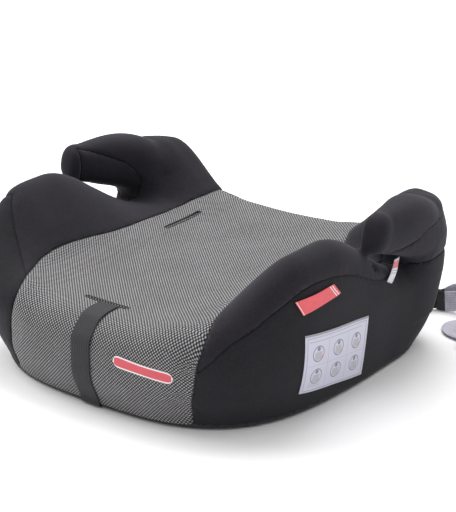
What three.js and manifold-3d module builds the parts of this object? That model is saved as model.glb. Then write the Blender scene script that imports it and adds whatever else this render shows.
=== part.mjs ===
// Backless child booster seat: moulded shell with two armrest hooks, foam pad, sewn cover, straps.
// Millimetres, +Z up, the front of the seat faces -Y, origin on the floor under the middle of the seat.
import * as THREE from 'three';
import { mergeVertices } from 'three/addons/utils/BufferGeometryUtils.js';
import Module from 'manifold-3d';

const wasm = await Module();
wasm.setup();

// ---------------------------------------------------------------- driving dimensions
const HALF_WIDTH = 196; // half width of the body at the floor
const PLAN_CENTRE = 40; // y of the widest section
const FRONT_REACH = 216; // from that section to the front edge at the floor
const REAR_REACH = 141; // from that section to the rear edge at the floor
const FRONT_POWER = 3.05; // roundness of the front corners at the floor
const REAR_POWER_FLOOR = 4.2; // roundness of the rear corners at the floor
const REAR_POWER_TOP = 8.5; // and higher up, where they square off under the armrests
const SEAT_HEIGHT = 101; // middle of the seat above the floor
const BOLSTER_RISE = 67; // side bolsters above the seat
const REAR_RISE = 54; // rear corners above the seat, where the armrests grow out
const EDGE_ROUND = 34; // blend between the sides and the top, tighter at the rear
const ARM_ROOT_RADIUS = 38;
const ARM_TIP_RADIUS = 20.75;
const ARM_NARROWING = 0.46; // how much slimmer than tall an armrest is at its tip
const ARM_LINE = [
  [164, 140, 55],
  [193, 165, 167],
  [199.5, 95.5, 153],
  [204, 39, 166.5],
]; // control points of the armrest's centre line, from the root to the tip
const ARM_SQUARE = 2.5; // squareness of the armrest's section
const TIP_SQUARE = 3.2; // squareness of its tip in side view

const COVER = 3; // foam-backed cover fabric
const GAP = 0.3; // clearance between pieces that touch
const WALL = 3.2; // moulded shell wall
const RIM_Z = 3; // underside of the shell's rim, standing on its feet
const HEM_Z = 6.4; // lower edge of the cover panels
const DECK_Z = 85; // top of the shell's seat deck, under the foam pad
const STRAP_WIDTH = 25;
const STRAP_THICK = 1.6;
const SLIT_Y = -143; // front slit in the seat cover
const SIDE_SLIT_X = 87;

// ---------------------------------------------------------------- colours
const CHARCOAL = { color: 0x2b292f, roughness: 0.9 };
const SIDE_CHARCOAL = { color: 0x222025, roughness: 0.9 };
const MESH_GREY = { color: 0x77767a, roughness: 0.85 };
const WEBBING = { color: 0x2a282e, roughness: 0.8 };
const BLACK_EDGE = { color: 0x141316, roughness: 0.7 };
const SHELL_PLASTIC = { color: 0x1b1b1e, roughness: 0.5 };
const FOAM = { color: 0xd9d4c4, roughness: 0.95 };
const RUBBER = { color: 0x18181a, roughness: 0.9 };
const STEEL = { color: 0xb4b6ba, roughness: 0.35, metalness: 1 };
const RED = { color: 0xd84a50, roughness: 0.6 };
const LABEL_WHITE = { color: 0xe9e8f0, roughness: 0.5 };
const PALE_WEBBING = { color: 0xb9b6c6, roughness: 0.8 };
const CLIP_RED = { color: 0xc23a3f, roughness: 0.4 };
const CLIP_GREY = { color: 0x3a3a3e, roughness: 0.4 };

// ---------------------------------------------------------------- small maths helpers
const clamp = (t, low, high) => Math.min(high, Math.max(low, t));
const step = (a, b, x) => {
  const t = clamp((x - a) / (b - a), 0, 1);
  return t * t * (3 - 2 * t);
};
const smoothMin = (a, b, k) => {
  const h = clamp(0.5 + (0.5 * (b - a)) / k, 0, 1);
  return b + (a - b) * h - k * h * (1 - h);
};
const smoothMax = (a, b, k) => -smoothMin(-a, -b, k);

// ---------------------------------------------------------------- outer form of the seat
// Height of the upholstered top at a place in plan.
function topHeight(ax, y) {
  const dish = -3 * Math.exp(-((ax / 60) ** 2)) + 7 * step(60, 110, ax) + 9 * step(90, 175, y);
  const rearCorner = REAR_RISE * step(116, 158, y) * step(92, 173, ax);
  const bolster = BOLSTER_RISE * step(-202, -81, y) * (1 - step(-39, 110, y));
  return SEAT_HEIGHT + dish + rearCorner + bolster * step(98, 188, ax);
}

// Signed distance, nearly, to the rounded plan outline, which swells with height.
function planDistance(ax, y, z) {
  const front = y < PLAN_CENTRE;
  const swell = 15 * step(-5, 45, z) - 6 * step(70, 140, z);
  const lean = 14 * (1 - Math.exp(-Math.max(z, 0) / 60));
  const rearLean = swell * 0.5 + 4 * step(40, 150, z);
  const reach = front ? FRONT_REACH + swell : REAR_REACH + rearLean;
  const waist = 4 * step(60, -60, y) - 4 * step(0, 60, z) * step(20, -80, y) - 5 * step(60, 160, y);
  const half = HALF_WIDTH + lean - waist;
  const rearPower = REAR_POWER_FLOOR + (REAR_POWER_TOP - REAR_POWER_FLOOR) * step(-5, 55, z);
  const frontPower = FRONT_POWER + 0.57 * step(20, 90, z);
  const n = front ? frontPower : rearPower;
  const u = Math.max(ax, 1e-3) / half;
  const v = Math.abs(y - PLAN_CENTRE) / reach;
  const r = (u ** n + v ** n) ** (1 / n);
  const slope = Math.hypot(u ** (n - 1) / half, v ** (n - 1) / reach) * r ** (1 - n);
  return (r - 1) / Math.max(slope, 1e-4);
}

// The upholstered body, carried on below the floor so that it can be cut off level.
function form(x, y, z) {
  const ax = Math.abs(x);
  const rounding = EDGE_ROUND - 18 * step(70, 140, y);
  const body = smoothMax(z - topHeight(ax, y), planDistance(ax, y, z), rounding);
  return Math.max(body, -(z + 14));
}

function gradient(field, p) {
  const e = 0.5;
  return new THREE.Vector3(
    field(p.x + e, p.y, p.z) - field(p.x - e, p.y, p.z),
    field(p.x, p.y + e, p.z) - field(p.x, p.y - e, p.z),
    field(p.x, p.y, p.z + e) - field(p.x, p.y, p.z - e),
  ).divideScalar(2 * e);
}

// Moves a point on to the level of the form that lies `level` mm outside its surface.
function settle(p, level) {
  for (let i = 0; i < 12; i += 1) {
    const g = gradient(form, p);
    p.addScaledVector(g, -((form(p.x, p.y, p.z) - level) / Math.max(g.lengthSq(), 0.05)) * 0.8);
  }
  return p;
}

// ---------------------------------------------------------------- meshing the form
function ticks(stops) {
  const out = [];
  for (let i = 0; i + 1 < stops.length; i += 1) {
    const [from, count] = stops[i];
    const to = stops[i + 1][0];
    for (let j = 0; j < count; j += 1) out.push(from + ((to - from) * j) / count);
  }
  out.push(stops.at(-1)[0]);
  return out;
}

const GRID = [
  ticks([[-250, 6], [-124, 6], [124, 6], [250, 0]]),
  ticks([[-220, 8], [0, 8], [220, 0]]),
  ticks([[-40, 1], [-22, 1], [4, 3], [82, 5], [197, 0]]),
];

// Surface nets: one vertex in each cell that the surface crosses, one quad for each crossed edge.
function skinMesh() {
  const [X, Y, Z] = GRID;
  const at = (i, j, k) => (i * Y.length + j) * Z.length + k;
  const value = new Float64Array(X.length * Y.length * Z.length);
  X.forEach((x, i) => Y.forEach((y, j) => Z.forEach((z, k) => {
    value[at(i, j, k)] = form(x, y, z);
  })));
  const axes = [[1, 0, 0], [0, 1, 0], [0, 0, 1]];
  const cells = new Map();
  const points = [];
  const cellVertex = (i, j, k) => {
    const key = at(i, j, k);
    if (cells.has(key)) return cells.get(key);
    const sum = new THREE.Vector3();
    let count = 0;
    axes.forEach((along, d) => {
      const [p, q] = [axes[(d + 1) % 3], axes[(d + 2) % 3]];
      for (let n = 0; n < 4; n += 1) {
        const s = [0, 1, 2].map((c) => [i, j, k][c] + p[c] * (n & 1) + q[c] * (n >> 1));
        const e = s.map((v, c) => v + along[c]);
        const [a, b] = [value[at(...s)], value[at(...e)]];
        if (a < 0 !== b < 0) {
          const t = a / (a - b);
          const from = new THREE.Vector3(X[s[0]], Y[s[1]], Z[s[2]]);
          sum.add(from.lerp(new THREE.Vector3(X[e[0]], Y[e[1]], Z[e[2]]), t));
          count += 1;
        }
      }
    });
    points.push(settle(sum.divideScalar(count), 0));
    cells.set(key, points.length - 1);
    return points.length - 1;
  };
  const triangles = [];
  for (let i = 1; i < X.length - 1; i += 1) {
    for (let j = 1; j < Y.length - 1; j += 1) {
      for (let k = 1; k < Z.length - 1; k += 1) {
        axes.forEach((along, d) => {
          const a = value[at(i, j, k)];
          const b = value[at(i + along[0], j + along[1], k + along[2])];
          if (a < 0 === b < 0) return;
          const [p, q] = [axes[(d + 1) % 3], axes[(d + 2) % 3]];
          const around = [[1, 1], [0, 1], [0, 0], [1, 0]].map(([m, n]) => cellVertex(
            i - p[0] * m - q[0] * n,
            j - p[1] * m - q[1] * n,
            k - p[2] * m - q[2] * n,
          ));
          const quad = a < 0 ? around : around.reverse();
          const [v0, v1, v2, v3] = quad.map((v) => points[v]);
          if (v0.distanceTo(v2) < v1.distanceTo(v3)) {
            triangles.push(quad[0], quad[1], quad[2], quad[0], quad[2], quad[3]);
          } else {
            triangles.push(quad[0], quad[1], quad[3], quad[1], quad[2], quad[3]);
          }
        });
      }
    }
  }
  return { points, triangles };
}

// Spreads the mesh's points evenly over the form, which keeps its crests smooth.
function relax({ points, triangles }, rounds) {
  for (let round = 0; round < rounds; round += 1) {
    const sums = points.map(() => new THREE.Vector3());
    const counts = points.map(() => 0);
    triangles.forEach((v, n) => {
      const next = triangles[n % 3 === 2 ? n - 2 : n + 1];
      sums[v].add(points[next]);
      counts[v] += 1;
    });
    points.forEach((p, i) => settle(p.copy(sums[i].divideScalar(counts[i])), 0));
  }
}

const skin = skinMesh();
relax(skin, 3);
const skinNormals = skin.points.map((p) => gradient(form, p).normalize());

// ---------------------------------------------------------------- solids and booleans
function toSolid(geometry) {
  const plain = geometry.clone();
  plain.deleteAttribute('normal');
  plain.deleteAttribute('uv');
  const merged = mergeVertices(plain, 1e-4);
  return new wasm.Manifold(new wasm.Mesh({
    numProp: 3,
    vertProperties: new Float32Array(merged.attributes.position.array),
    triVerts: new Uint32Array(merged.index.array),
  }));
}

function toGeometry(solid) {
  const { vertProperties, triVerts } = solid.getMesh();
  const geometry = new THREE.BufferGeometry();
  geometry.setAttribute('position', new THREE.BufferAttribute(new Float32Array(vertProperties), 3));
  geometry.setIndex(new THREE.BufferAttribute(new Uint32Array(triVerts), 1));
  geometry.computeVertexNormals();
  return geometry;
}

// The form, brought in by a number of millimetres all over.
function formSolid(inset) {
  const geometry = new THREE.BufferGeometry();
  const spots = skin.points.flatMap((p, i) => p.clone().addScaledVector(skinNormals[i], -inset).toArray());
  geometry.setAttribute('position', new THREE.Float32BufferAttribute(spots, 3));
  geometry.setIndex(skin.triangles);
  return toSolid(geometry);
}

const outline = (points) => new THREE.Shape(points.map(([a, b]) => new THREE.Vector2(a, b)));
const FROM_SIDE = new THREE.Matrix4().makeBasis(
  new THREE.Vector3(0, 1, 0),
  new THREE.Vector3(0, 0, 1),
  new THREE.Vector3(1, 0, 0),
);

// A prism standing on a plan outline, from one height to another.
function planPrism(shape, z0, z1, curveSegments = 6) {
  const geometry = new THREE.ExtrudeGeometry(shape, { depth: z1 - z0, bevelEnabled: false, curveSegments });
  return geometry.translate(0, 0, z0);
}

// A prism with its outline drawn in side view (y, z), from one x to another.
function sidePrism(shape, x0, x1, curveSegments = 6) {
  const geometry = new THREE.ExtrudeGeometry(shape, { depth: x1 - x0, bevelEnabled: false, curveSegments });
  return geometry.translate(0, 0, x0).applyMatrix4(FROM_SIDE);
}

function box(x0, x1, y0, y1, z0, z1) {
  const geometry = new THREE.BoxGeometry(x1 - x0, y1 - y0, z1 - z0);
  return geometry.translate((x0 + x1) / 2, (y0 + y1) / 2, (z0 + z1) / 2);
}

const TOP = 260;
const above = (z) => toSolid(box(-300, 300, -300, 300, z, TOP)); // all the space above a height
const union = (solids) => solids.reduce((a, b) => a.add(b));
const joined = (geometries) => union(geometries.map(toSolid));

// The same cutter made a gap larger, so that the panels on its two sides don't touch.
function withKerf(make) {
  const moves = [[0, 0, 0], [GAP, 0, 0], [-GAP, 0, 0], [0, GAP, 0], [0, -GAP, 0], [0, 0, GAP], [0, 0, -GAP]];
  return union(moves.map((move) => make(move)));
}

const group = new THREE.Group();
function add(name, geometry, look) {
  const mesh = new THREE.Mesh(geometry, new THREE.MeshStandardMaterial(look));
  mesh.name = name;
  group.add(mesh);
  return mesh;
}
const addSolid = (name, solid, look) => add(name, toGeometry(solid), look);

// The largest body of a cut solid, without the crumbs that a cut along a curved wall can leave.
function mainBody(solid) {
  const bodies = solid.decompose();
  return bodies.reduce((best, body) => (body.volume() > best.volume() ? body : best));
}
const addPanel = (name, solid, look) => addSolid(name, mainBody(solid), look);

// ---------------------------------------------------------------- armrest hooks
const ARM_SIDES = 12;
const ARM_RINGS = 7;
const DOME_RINGS = 3;
const armCurve = new THREE.CubicBezierCurve3(...ARM_LINE.map((p) => new THREE.Vector3(...p)));

const squared = (x) => Math.sign(x) * Math.abs(x) ** (2 / ARM_SQUARE);

// One ring of an armrest, brought in by `inset`; t runs from the root to 1 and on through the tip's dome.
function armRing(t, inset) {
  const along = Math.min(t, 1);
  const dome = (Math.max(t - 1, 0) * Math.PI) / 2;
  const tangent = armCurve.getTangent(along);
  const across = new THREE.Vector3(1, 0, 0).addScaledVector(tangent, -tangent.x).normalize();
  const upright = new THREE.Vector3().crossVectors(tangent, across);
  const taper = along ** 1.95;
  const tall = ARM_ROOT_RADIUS + (ARM_TIP_RADIUS - ARM_ROOT_RADIUS) * taper;
  const wide = tall / (1 + ARM_NARROWING * taper);
  const beyond = (tall - inset) * 0.9 * Math.sin(dome) ** (2 / TIP_SQUARE);
  const centre = armCurve.getPoint(along).addScaledVector(tangent, beyond);
  const size = Math.cos(dome) ** (2 / TIP_SQUARE);
  return Array.from({ length: ARM_SIDES }, (_, i) => {
    const a = (i * 2 * Math.PI) / ARM_SIDES;
    return centre.clone()
      .addScaledVector(across, (wide - inset) * size * squared(Math.cos(a)))
      .addScaledVector(upright, (tall - inset) * size * squared(Math.sin(a)));
  });
}

// A closed solid through a list of rings, each with the same number of points.
function loft(rings) {
  const n = rings[0].length;
  const points = rings.flat();
  const triangles = [];
  for (let r = 0; r + 1 < rings.length; r += 1) {
    for (let i = 0; i < n; i += 1) {
      const [a, b] = [r * n + i, r * n + ((i + 1) % n)];
      triangles.push(a, b, b + n, a, b + n, a + n);
    }
  }
  const last = (rings.length - 1) * n;
  for (let i = 1; i + 1 < n; i += 1) {
    triangles.push(0, i + 1, i);
    triangles.push(last, last + i, last + i + 1);
  }
  const geometry = new THREE.BufferGeometry();
  geometry.setAttribute('position', new THREE.Float32BufferAttribute(points.flatMap((p) => p.toArray()), 3));
  geometry.setIndex(triangles);
  return geometry;
}

// Mirrors a closed solid from the right side of the seat to the left.
function toLeft(geometry) {
  const flipped = geometry.clone().scale(-1, 1, 1);
  const index = flipped.index.array;
  for (let i = 0; i < index.length; i += 3) [index[i + 1], index[i + 2]] = [index[i + 2], index[i + 1]];
  return flipped;
}

function armSolid(side, inset) {
  const stops = [];
  for (let i = 0; i <= ARM_RINGS; i += 1) stops.push(i / ARM_RINGS);
  for (let i = 1; i <= DOME_RINGS; i += 1) stops.push(1 + (i / DOME_RINGS) * 0.93);
  const right = loft(stops.map((t) => armRing(t, inset)));
  return toSolid(side > 0 ? right : toLeft(right));
}

// ---------------------------------------------------------------- sewn cover
const MESH_EDGE = [
  [128, -215],
  [129, -160],
  [119, -128],
  [119, -90],
  [111, -30],
  [107, 20],
  [107, 60],
  [112, 113],
  [110, 215],
]; // right edge of the mesh seat panel in plan
// The left edge lies a little further in at the front.
const MESH_EDGE_LEFT = MESH_EDGE.map(([x, y]) => [-x + (y < -140 ? 16 : 0), y]);
const SIDE_SEAM = [
  [-215, 40],
  [-165, 60],
  [-141, 89],
  [-111, 122],
  [-80, 142],
  [-61, 145],
  [-24, 142],
  [4, 134],
  [33, 121],
  [59, 110],
  [100, 109],
  [130, 116],
  [215, 118],
]; // outer seam in side view: height of the side panel's top edge along the seat
const REAR_SEAM_Z = 88;
const REAR_PANEL_HALF = 118;

const coverLayer = () => formSolid(0).subtract(formSolid(COVER)).intersect(above(HEM_Z));
const SLEEVE_SEAM_Z = 113; // the armrest sleeves start above this height, the side panels end below it
const armHoles = union([1, -1].map((side) => armSolid(side, -GAP))).intersect(above(SLEEVE_SEAM_Z));
let cloth = coverLayer().subtract(armHoles);

// Takes the part of the cover inside a cutter away as one panel and leaves a gap along the cut.
function cutPanel(make) {
  const panel = cloth.intersect(make([0, 0, 0]));
  cloth = cloth.subtract(withKerf(make));
  return panel;
}

const meshCutter = ([dx, dy, dz]) => {
  const plan = outline([...MESH_EDGE, ...MESH_EDGE_LEFT.toReversed()]);
  return toSolid(planPrism(plan, -20, TOP).translate(dx, dy, dz));
};
const rearCutter = ([dx, dy, dz]) => {
  const blocks = [box(-REAR_PANEL_HALF, REAR_PANEL_HALF, 150, 230, -20, REAR_SEAM_Z)];
  return joined(blocks.map((block) => block.translate(dx, dy, dz)));
};
const sideCutter = (side) => ([dx, dy, dz]) => {
  const heights = sidePrism(outline([[-215, -20], [215, -20], ...SIDE_SEAM.toReversed()]), 60, 260);
  const rightPlan = [[60, -215], [260, -215], [260, 215], [110, 215], [110, 160], [172, 120]];
  const inner = [[172, -60], [150, -100], [112, -135], [100, -150]];
  const plan = planPrism(outline([...rightPlan, ...inner]), -30, TOP);
  const right = toSolid(heights).intersect(toSolid(plan));
  const geometry = toGeometry(right);
  const placed = side > 0 ? geometry : toLeft(geometry);
  return toSolid(placed.translate(dx, dy, dz));
};

const slitBox = (x, y, lengthX, lengthY) => {
  const [halfX, halfY] = [lengthX / 2, lengthY / 2];
  return box(x - halfX, x + halfX, y - halfY, y + halfY, 60, 140);
};
const SLIT_WIDTH = 4;
const FRONT_SLIT = [-4, SLIT_Y, 54, SLIT_WIDTH];
const SIDE_SLITS = [1, -1].map((side) => [side * SIDE_SLIT_X, 87, SLIT_WIDTH, 66]);
const slits = joined([FRONT_SLIT, ...SIDE_SLITS].map((slit) => slitBox(...slit)));
const ANCHOR_X = 120; // where the rear strap leaves the body
const ANCHOR_Z = 21;
const anchorHole = () => toSolid(box(ANCHOR_X - 3, ANCHOR_X + 3, 160, 230, ANCHOR_Z - 13.5, ANCHOR_Z + 13.5));

const rearPanel = cutPanel(rearCutter);
const meshPanel = cutPanel(meshCutter).subtract(slits);
addPanel('cover_seat_panel', meshPanel, MESH_GREY);
addPanel('cover_rear_panel', rearPanel, SIDE_CHARCOAL);
for (const [side, word] of [[1, 'right'], [-1, 'left']]) {
  const sidePanel = cutPanel(sideCutter(side));
  addPanel(`cover_side_${word}`, side > 0 ? sidePanel.subtract(anchorHole()) : sidePanel, SIDE_CHARCOAL);
}
for (const [side, word] of [[1, 'right'], [-1, 'left']]) {
  const half = toSolid(side > 0 ? box(0, 300, -300, 300, 0, TOP) : box(-300, 0, -300, 300, 0, TOP));
  addPanel(`cover_bolster_${word}`, cloth.intersect(half), CHARCOAL);
}

// Armrest sleeves: an under panel that faces the belt slot, and a top panel over the rest.
const ARM_SEAM_INNER = [
  [0, 186], [33, 186], [52, 178], [70, 169], [88, 158], [103, 146], [109, 134], [111, 60], [0, 60],
];
const ARM_SEAM_OUTER = [[0, 146], [60, 143], [85, 143], [100, 128], [111, 100], [111, 60], [0, 60]];
const ARM_MIDDLE = 199;
const underCutter = (side) => ([dx, dy, dz]) => {
  const inner = toSolid(sidePrism(outline(ARM_SEAM_INNER), 120, ARM_MIDDLE));
  const outer = toSolid(sidePrism(outline(ARM_SEAM_OUTER), ARM_MIDDLE - 1, 260));
  const right = toGeometry(inner.add(outer));
  return toSolid((side > 0 ? right : toLeft(right)).translate(dx, dy, dz));
};
for (const [side, word] of [[1, 'right'], [-1, 'left']]) {
  const sleeve = armSolid(side, 0).subtract(armSolid(side, COVER)).subtract(formSolid(-GAP))
    .intersect(above(SLEEVE_SEAM_Z + GAP));
  addPanel(`cover_armrest_under_${word}`, sleeve.intersect(underCutter(side)([0, 0, 0])), SIDE_CHARCOAL);
  addPanel(`cover_armrest_top_${word}`, sleeve.subtract(withKerf(underCutter(side))), CHARCOAL);
}

// ---------------------------------------------------------------- moulded shell and its armrest cores
const SOCKET_Z = 100; // floor of the socket that each armrest core is screwed into
const CORE = COVER + 0.5; // from the outside of the cover to the shell
const FOAM_HALF = 94;
const foamPlan = () => {
  const plan = new THREE.Shape();
  plan.moveTo(-FOAM_HALF, -100);
  plan.quadraticCurveTo(-FOAM_HALF, -130, -64, -130);
  plan.lineTo(64, -130);
  plan.quadraticCurveTo(FOAM_HALF, -130, FOAM_HALF, -100);
  plan.lineTo(FOAM_HALF, 120);
  plan.quadraticCurveTo(FOAM_HALF, 150, 64, 150);
  plan.lineTo(-64, 150);
  plan.quadraticCurveTo(-FOAM_HALF, 150, -FOAM_HALF, 120);
  return plan;
};
const foamBlock = toSolid(planPrism(foamPlan(), DECK_Z + GAP, TOP));
const widerFoam = toGeometry(foamBlock).scale(1.035, 1.025, 1).translate(0, 0.25, -WALL - GAP);
const foamRecess = toGeometry(foamBlock).scale(1.003, 1.003, 1).translate(0, 0, -GAP);

const armSpace = (inset, floor) => {
  const arms = union([1, -1].map((side) => armSolid(side, inset)));
  return arms.intersect(above(floor));
};
const rimFlange = () => {
  const opening = new THREE.Shape();
  const [half, front, rear] = [172, -142, 150];
  opening.moveTo(-half, front + 60);
  opening.quadraticCurveTo(-half, front, -half + 70, front);
  opening.lineTo(half - 70, front);
  opening.quadraticCurveTo(half, front, half, front + 60);
  opening.lineTo(half, rear);
  opening.lineTo(-half, rear);
  return above(RIM_Z).subtract(above(RIM_Z + WALL)).subtract(toSolid(planPrism(opening, 0, 20)));
};
const STRAP_X = 3; // middle of the front strap
const BAR_RADIUS = 3;
const UPPER_BAR = [SLIT_Y, 64];
const LOWER_BAR = [-132, 26];
const barBrackets = () => {
  const plates = [-1, 1].map((side) => {
    const x = STRAP_X + side * 17;
    return box(x - 1.5, x + 1.5, -190, -122, RIM_Z, 92);
  });
  const holes = [UPPER_BAR, LOWER_BAR].map(([y, z]) => {
    const hole = new THREE.CylinderGeometry(BAR_RADIUS + GAP, BAR_RADIUS + GAP, 60, 20);
    return toSolid(hole.rotateZ(Math.PI / 2).translate(STRAP_X, y, z));
  });
  return joined(plates).subtract(union(holes));
};
const deckRibs = () => {
  const long = [-60, 60].map((x) => box(x - 1.25, x + 1.25, -150, 175, DECK_Z - 24, DECK_Z - 1));
  const cross = [20].map((y) => box(-150, 150, y - 1.25, y + 1.25, DECK_Z - 24, DECK_Z - 1));
  return joined([...long, ...cross]);
};
const outerShell = formSolid(CORE)
  .intersect(formSolid(COVER))
  .intersect(above(RIM_Z))
  .subtract(toSolid(foamRecess))
  .subtract(armSpace(COVER, SOCKET_Z));
const hollow = formSolid(CORE + WALL)
  .subtract(toSolid(widerFoam))
  .subtract(armSpace(0.4, SOCKET_Z - WALL));
const fittings = rimFlange()
  .add(barBrackets())
  .add(deckRibs())
  .intersect(formSolid(CORE + 1).subtract(toSolid(foamRecess)));
const strapHole = toSolid(box(STRAP_X - 14.5, STRAP_X + 14.5, SLIT_Y - 3, SLIT_Y + 3, 70, 120));
const SCREW_SPOTS = [[170, 139], [191, 150]];
const screwHoles = union(SCREW_SPOTS.flatMap(([x, y]) => [1, -1].map((side) => {
  const hole = new THREE.CylinderGeometry(2.6, 2.6, 30, 12).rotateX(Math.PI / 2);
  return toSolid(hole.translate(side * x, y, SOCKET_Z - 5));
})));
const ANCHOR_PIN_Y = 172.5;
const anchorPin = (grow) => {
  const pin = new THREE.CylinderGeometry(2.4 + grow, 2.4 + grow, 31 + 2 * grow, 12).rotateX(Math.PI / 2);
  return pin.translate(ANCHOR_X, ANCHOR_PIN_Y, ANCHOR_Z + 1);
};
const shell = outerShell.subtract(hollow).add(fittings)
  .subtract(union([strapHole, anchorHole(), screwHoles, toSolid(anchorPin(GAP))]));
addSolid('base_shell', shell, SHELL_PLASTIC);
addSolid('seat_foam', formSolid(CORE).intersect(foamBlock), FOAM);

for (const [side, word] of [[1, 'right'], [-1, 'left']]) {
  const inside = armSolid(side, CORE + WALL).intersect(above(SOCKET_Z + 8));
  const bulge = above(0).subtract(above(SLEEVE_SEAM_Z + GAP)).subtract(formSolid(CORE));
  const opening = new THREE.CylinderGeometry(9, 9, 20, 16).rotateX(Math.PI / 2);
  const core = armSolid(side, CORE)
    .intersect(above(SOCKET_Z + GAP))
    .subtract(inside)
    .subtract(bulge)
    .subtract(toSolid(opening.translate(side * 181, 128, SOCKET_Z)))
    .subtract(union(SCREW_SPOTS.map(([x, y]) => {
      const hole = new THREE.CylinderGeometry(2.3, 2.3, 40, 12).rotateX(Math.PI / 2);
      return toSolid(hole.translate(side * x, y, SOCKET_Z));
    })));
  addSolid(`armrest_core_${word}`, core, SHELL_PLASTIC);
}

// ---------------------------------------------------------------- fixings of the armrests, feet and hem
for (const [side, word] of [[1, 'right'], [-1, 'left']]) {
  SCREW_SPOTS.forEach(([x, y], i) => {
    const profile = [[0, -4.6], [4.6, -4.6], [4.6, -3.4], [2.1, -0.6], [2.1, 9], [0, 11]];
    const screw = new THREE.LatheGeometry(profile.map(([r, h]) => new THREE.Vector2(r, h)), 10);
    screw.rotateX(Math.PI / 2).translate(side * x, y, SOCKET_Z - WALL - GAP + 1);
    add(`armrest_screw_${word}_${i + 1}`, screw, STEEL);
  });
}

const FOOT_SPOTS = [['front', 150, -118], ['rear', 182, 120]];
for (const [side, word] of [[1, 'right'], [-1, 'left']]) {
  for (const [place, x, y] of FOOT_SPOTS) {
    const foot = new THREE.CylinderGeometry(8, 9, RIM_Z - GAP, 16).rotateX(Math.PI / 2);
    add(`foot_${place}_${word}`, foot.translate(side * x, y, (RIM_Z - GAP) / 2), RUBBER);
  }
}

// A point on the level `outward` of the form, along a ray from the middle of the seat at height z.
function rimPoint(angle, outward, z) {
  const [c, s] = [Math.cos(angle), Math.sin(angle)];
  let [near, far] = [100, 300];
  for (let i = 0; i < 30; i += 1) {
    const mid = (near + far) / 2;
    if (form(c * mid, PLAN_CENTRE + s * mid, z) < outward) near = mid;
    else far = mid;
  }
  return new THREE.Vector3(c * near, PLAN_CENTRE + s * near, z);
}
// A closed ring swept through sections that each have the same number of points.
function closedSweep(sections) {
  const n = sections[0].length;
  const triangles = [];
  sections.forEach((section, i) => {
    const next = (i + 1) % sections.length;
    for (let k = 0; k < n; k += 1) {
      const [a, b] = [i * n + k, i * n + ((k + 1) % n)];
      const [c, d] = [next * n + k, next * n + ((k + 1) % n)];
      triangles.push(a, c, d, a, d, b);
    }
  });
  const geometry = new THREE.BufferGeometry();
  const spots = sections.flat().flatMap((p) => p.toArray());
  geometry.setAttribute('position', new THREE.Float32BufferAttribute(spots, 3));
  geometry.setIndex(triangles);
  return geometry;
}

// Tape that binds the lower edge of the cover.
const HEM_STEPS = 64;
const HEM_MIDDLE_Z = 4.6;
const HEM_SECTION = [[-1.05, -1.5], [-0.4, -1.5], [0, 0], [-0.4, 1.5], [-1.05, 1.5]]; // outward, up
const hemRings = Array.from({ length: HEM_STEPS }, (_, i) => {
  const turn = (i * 2 * Math.PI) / HEM_STEPS;
  const angle = turn + 0.11 * Math.sin(4 * turn); // closer together round the corners
  return HEM_SECTION.map(([outward, up]) => rimPoint(angle, outward, HEM_MIDDLE_Z).setZ(HEM_MIDDLE_Z + up));
});
add('hem_binding', closedSweep(hemRings), BLACK_EDGE);

// ---------------------------------------------------------------- front strap and the bars it is sewn round
const barAt = ([y, z]) => {
  const bar = new THREE.CylinderGeometry(BAR_RADIUS, BAR_RADIUS, 46, 16);
  return bar.rotateZ(Math.PI / 2).translate(STRAP_X, y, z);
};
add('front_strap_upper_bar', barAt(UPPER_BAR), STEEL);
add('front_strap_lower_bar', barAt(LOWER_BAR), STEEL);

// Side view of the strap: from the upper bar through the slit, down the front and under the rim.
const STRAP_LIFT = 1.9; // clearance between the cover and the strap's inner face
function frontFace(z, lift) {
  let [inside, outside] = [-120, -260];
  for (let i = 0; i < 30; i += 1) {
    const mid = (inside + outside) / 2;
    if (form(STRAP_X, mid, z) < lift) inside = mid;
    else outside = mid;
  }
  return [inside, z];
}
function topFace(y, lift) {
  let [inside, outside] = [60, 200];
  for (let i = 0; i < 30; i += 1) {
    const mid = (inside + outside) / 2;
    if (form(STRAP_X, y, mid) < lift) inside = mid;
    else outside = mid;
  }
  return [y, inside];
}
const strapEdge = (lift) => {
  const over = [-150, -157, -164, -170, -175, -179, -182].map((y) => topFace(y, lift));
  const down = [82, 76, 69, 60, 48, 36, 24, 14, 7].map((z) => frontFace(z, lift));
  return [...over, ...down];
};
const strapInner = strapEdge(STRAP_LIFT);
const strapOuter = strapEdge(STRAP_LIFT + STRAP_THICK);
const [barGap, loop] = [BAR_RADIUS + GAP, BAR_RADIUS + GAP + STRAP_THICK];
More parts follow.
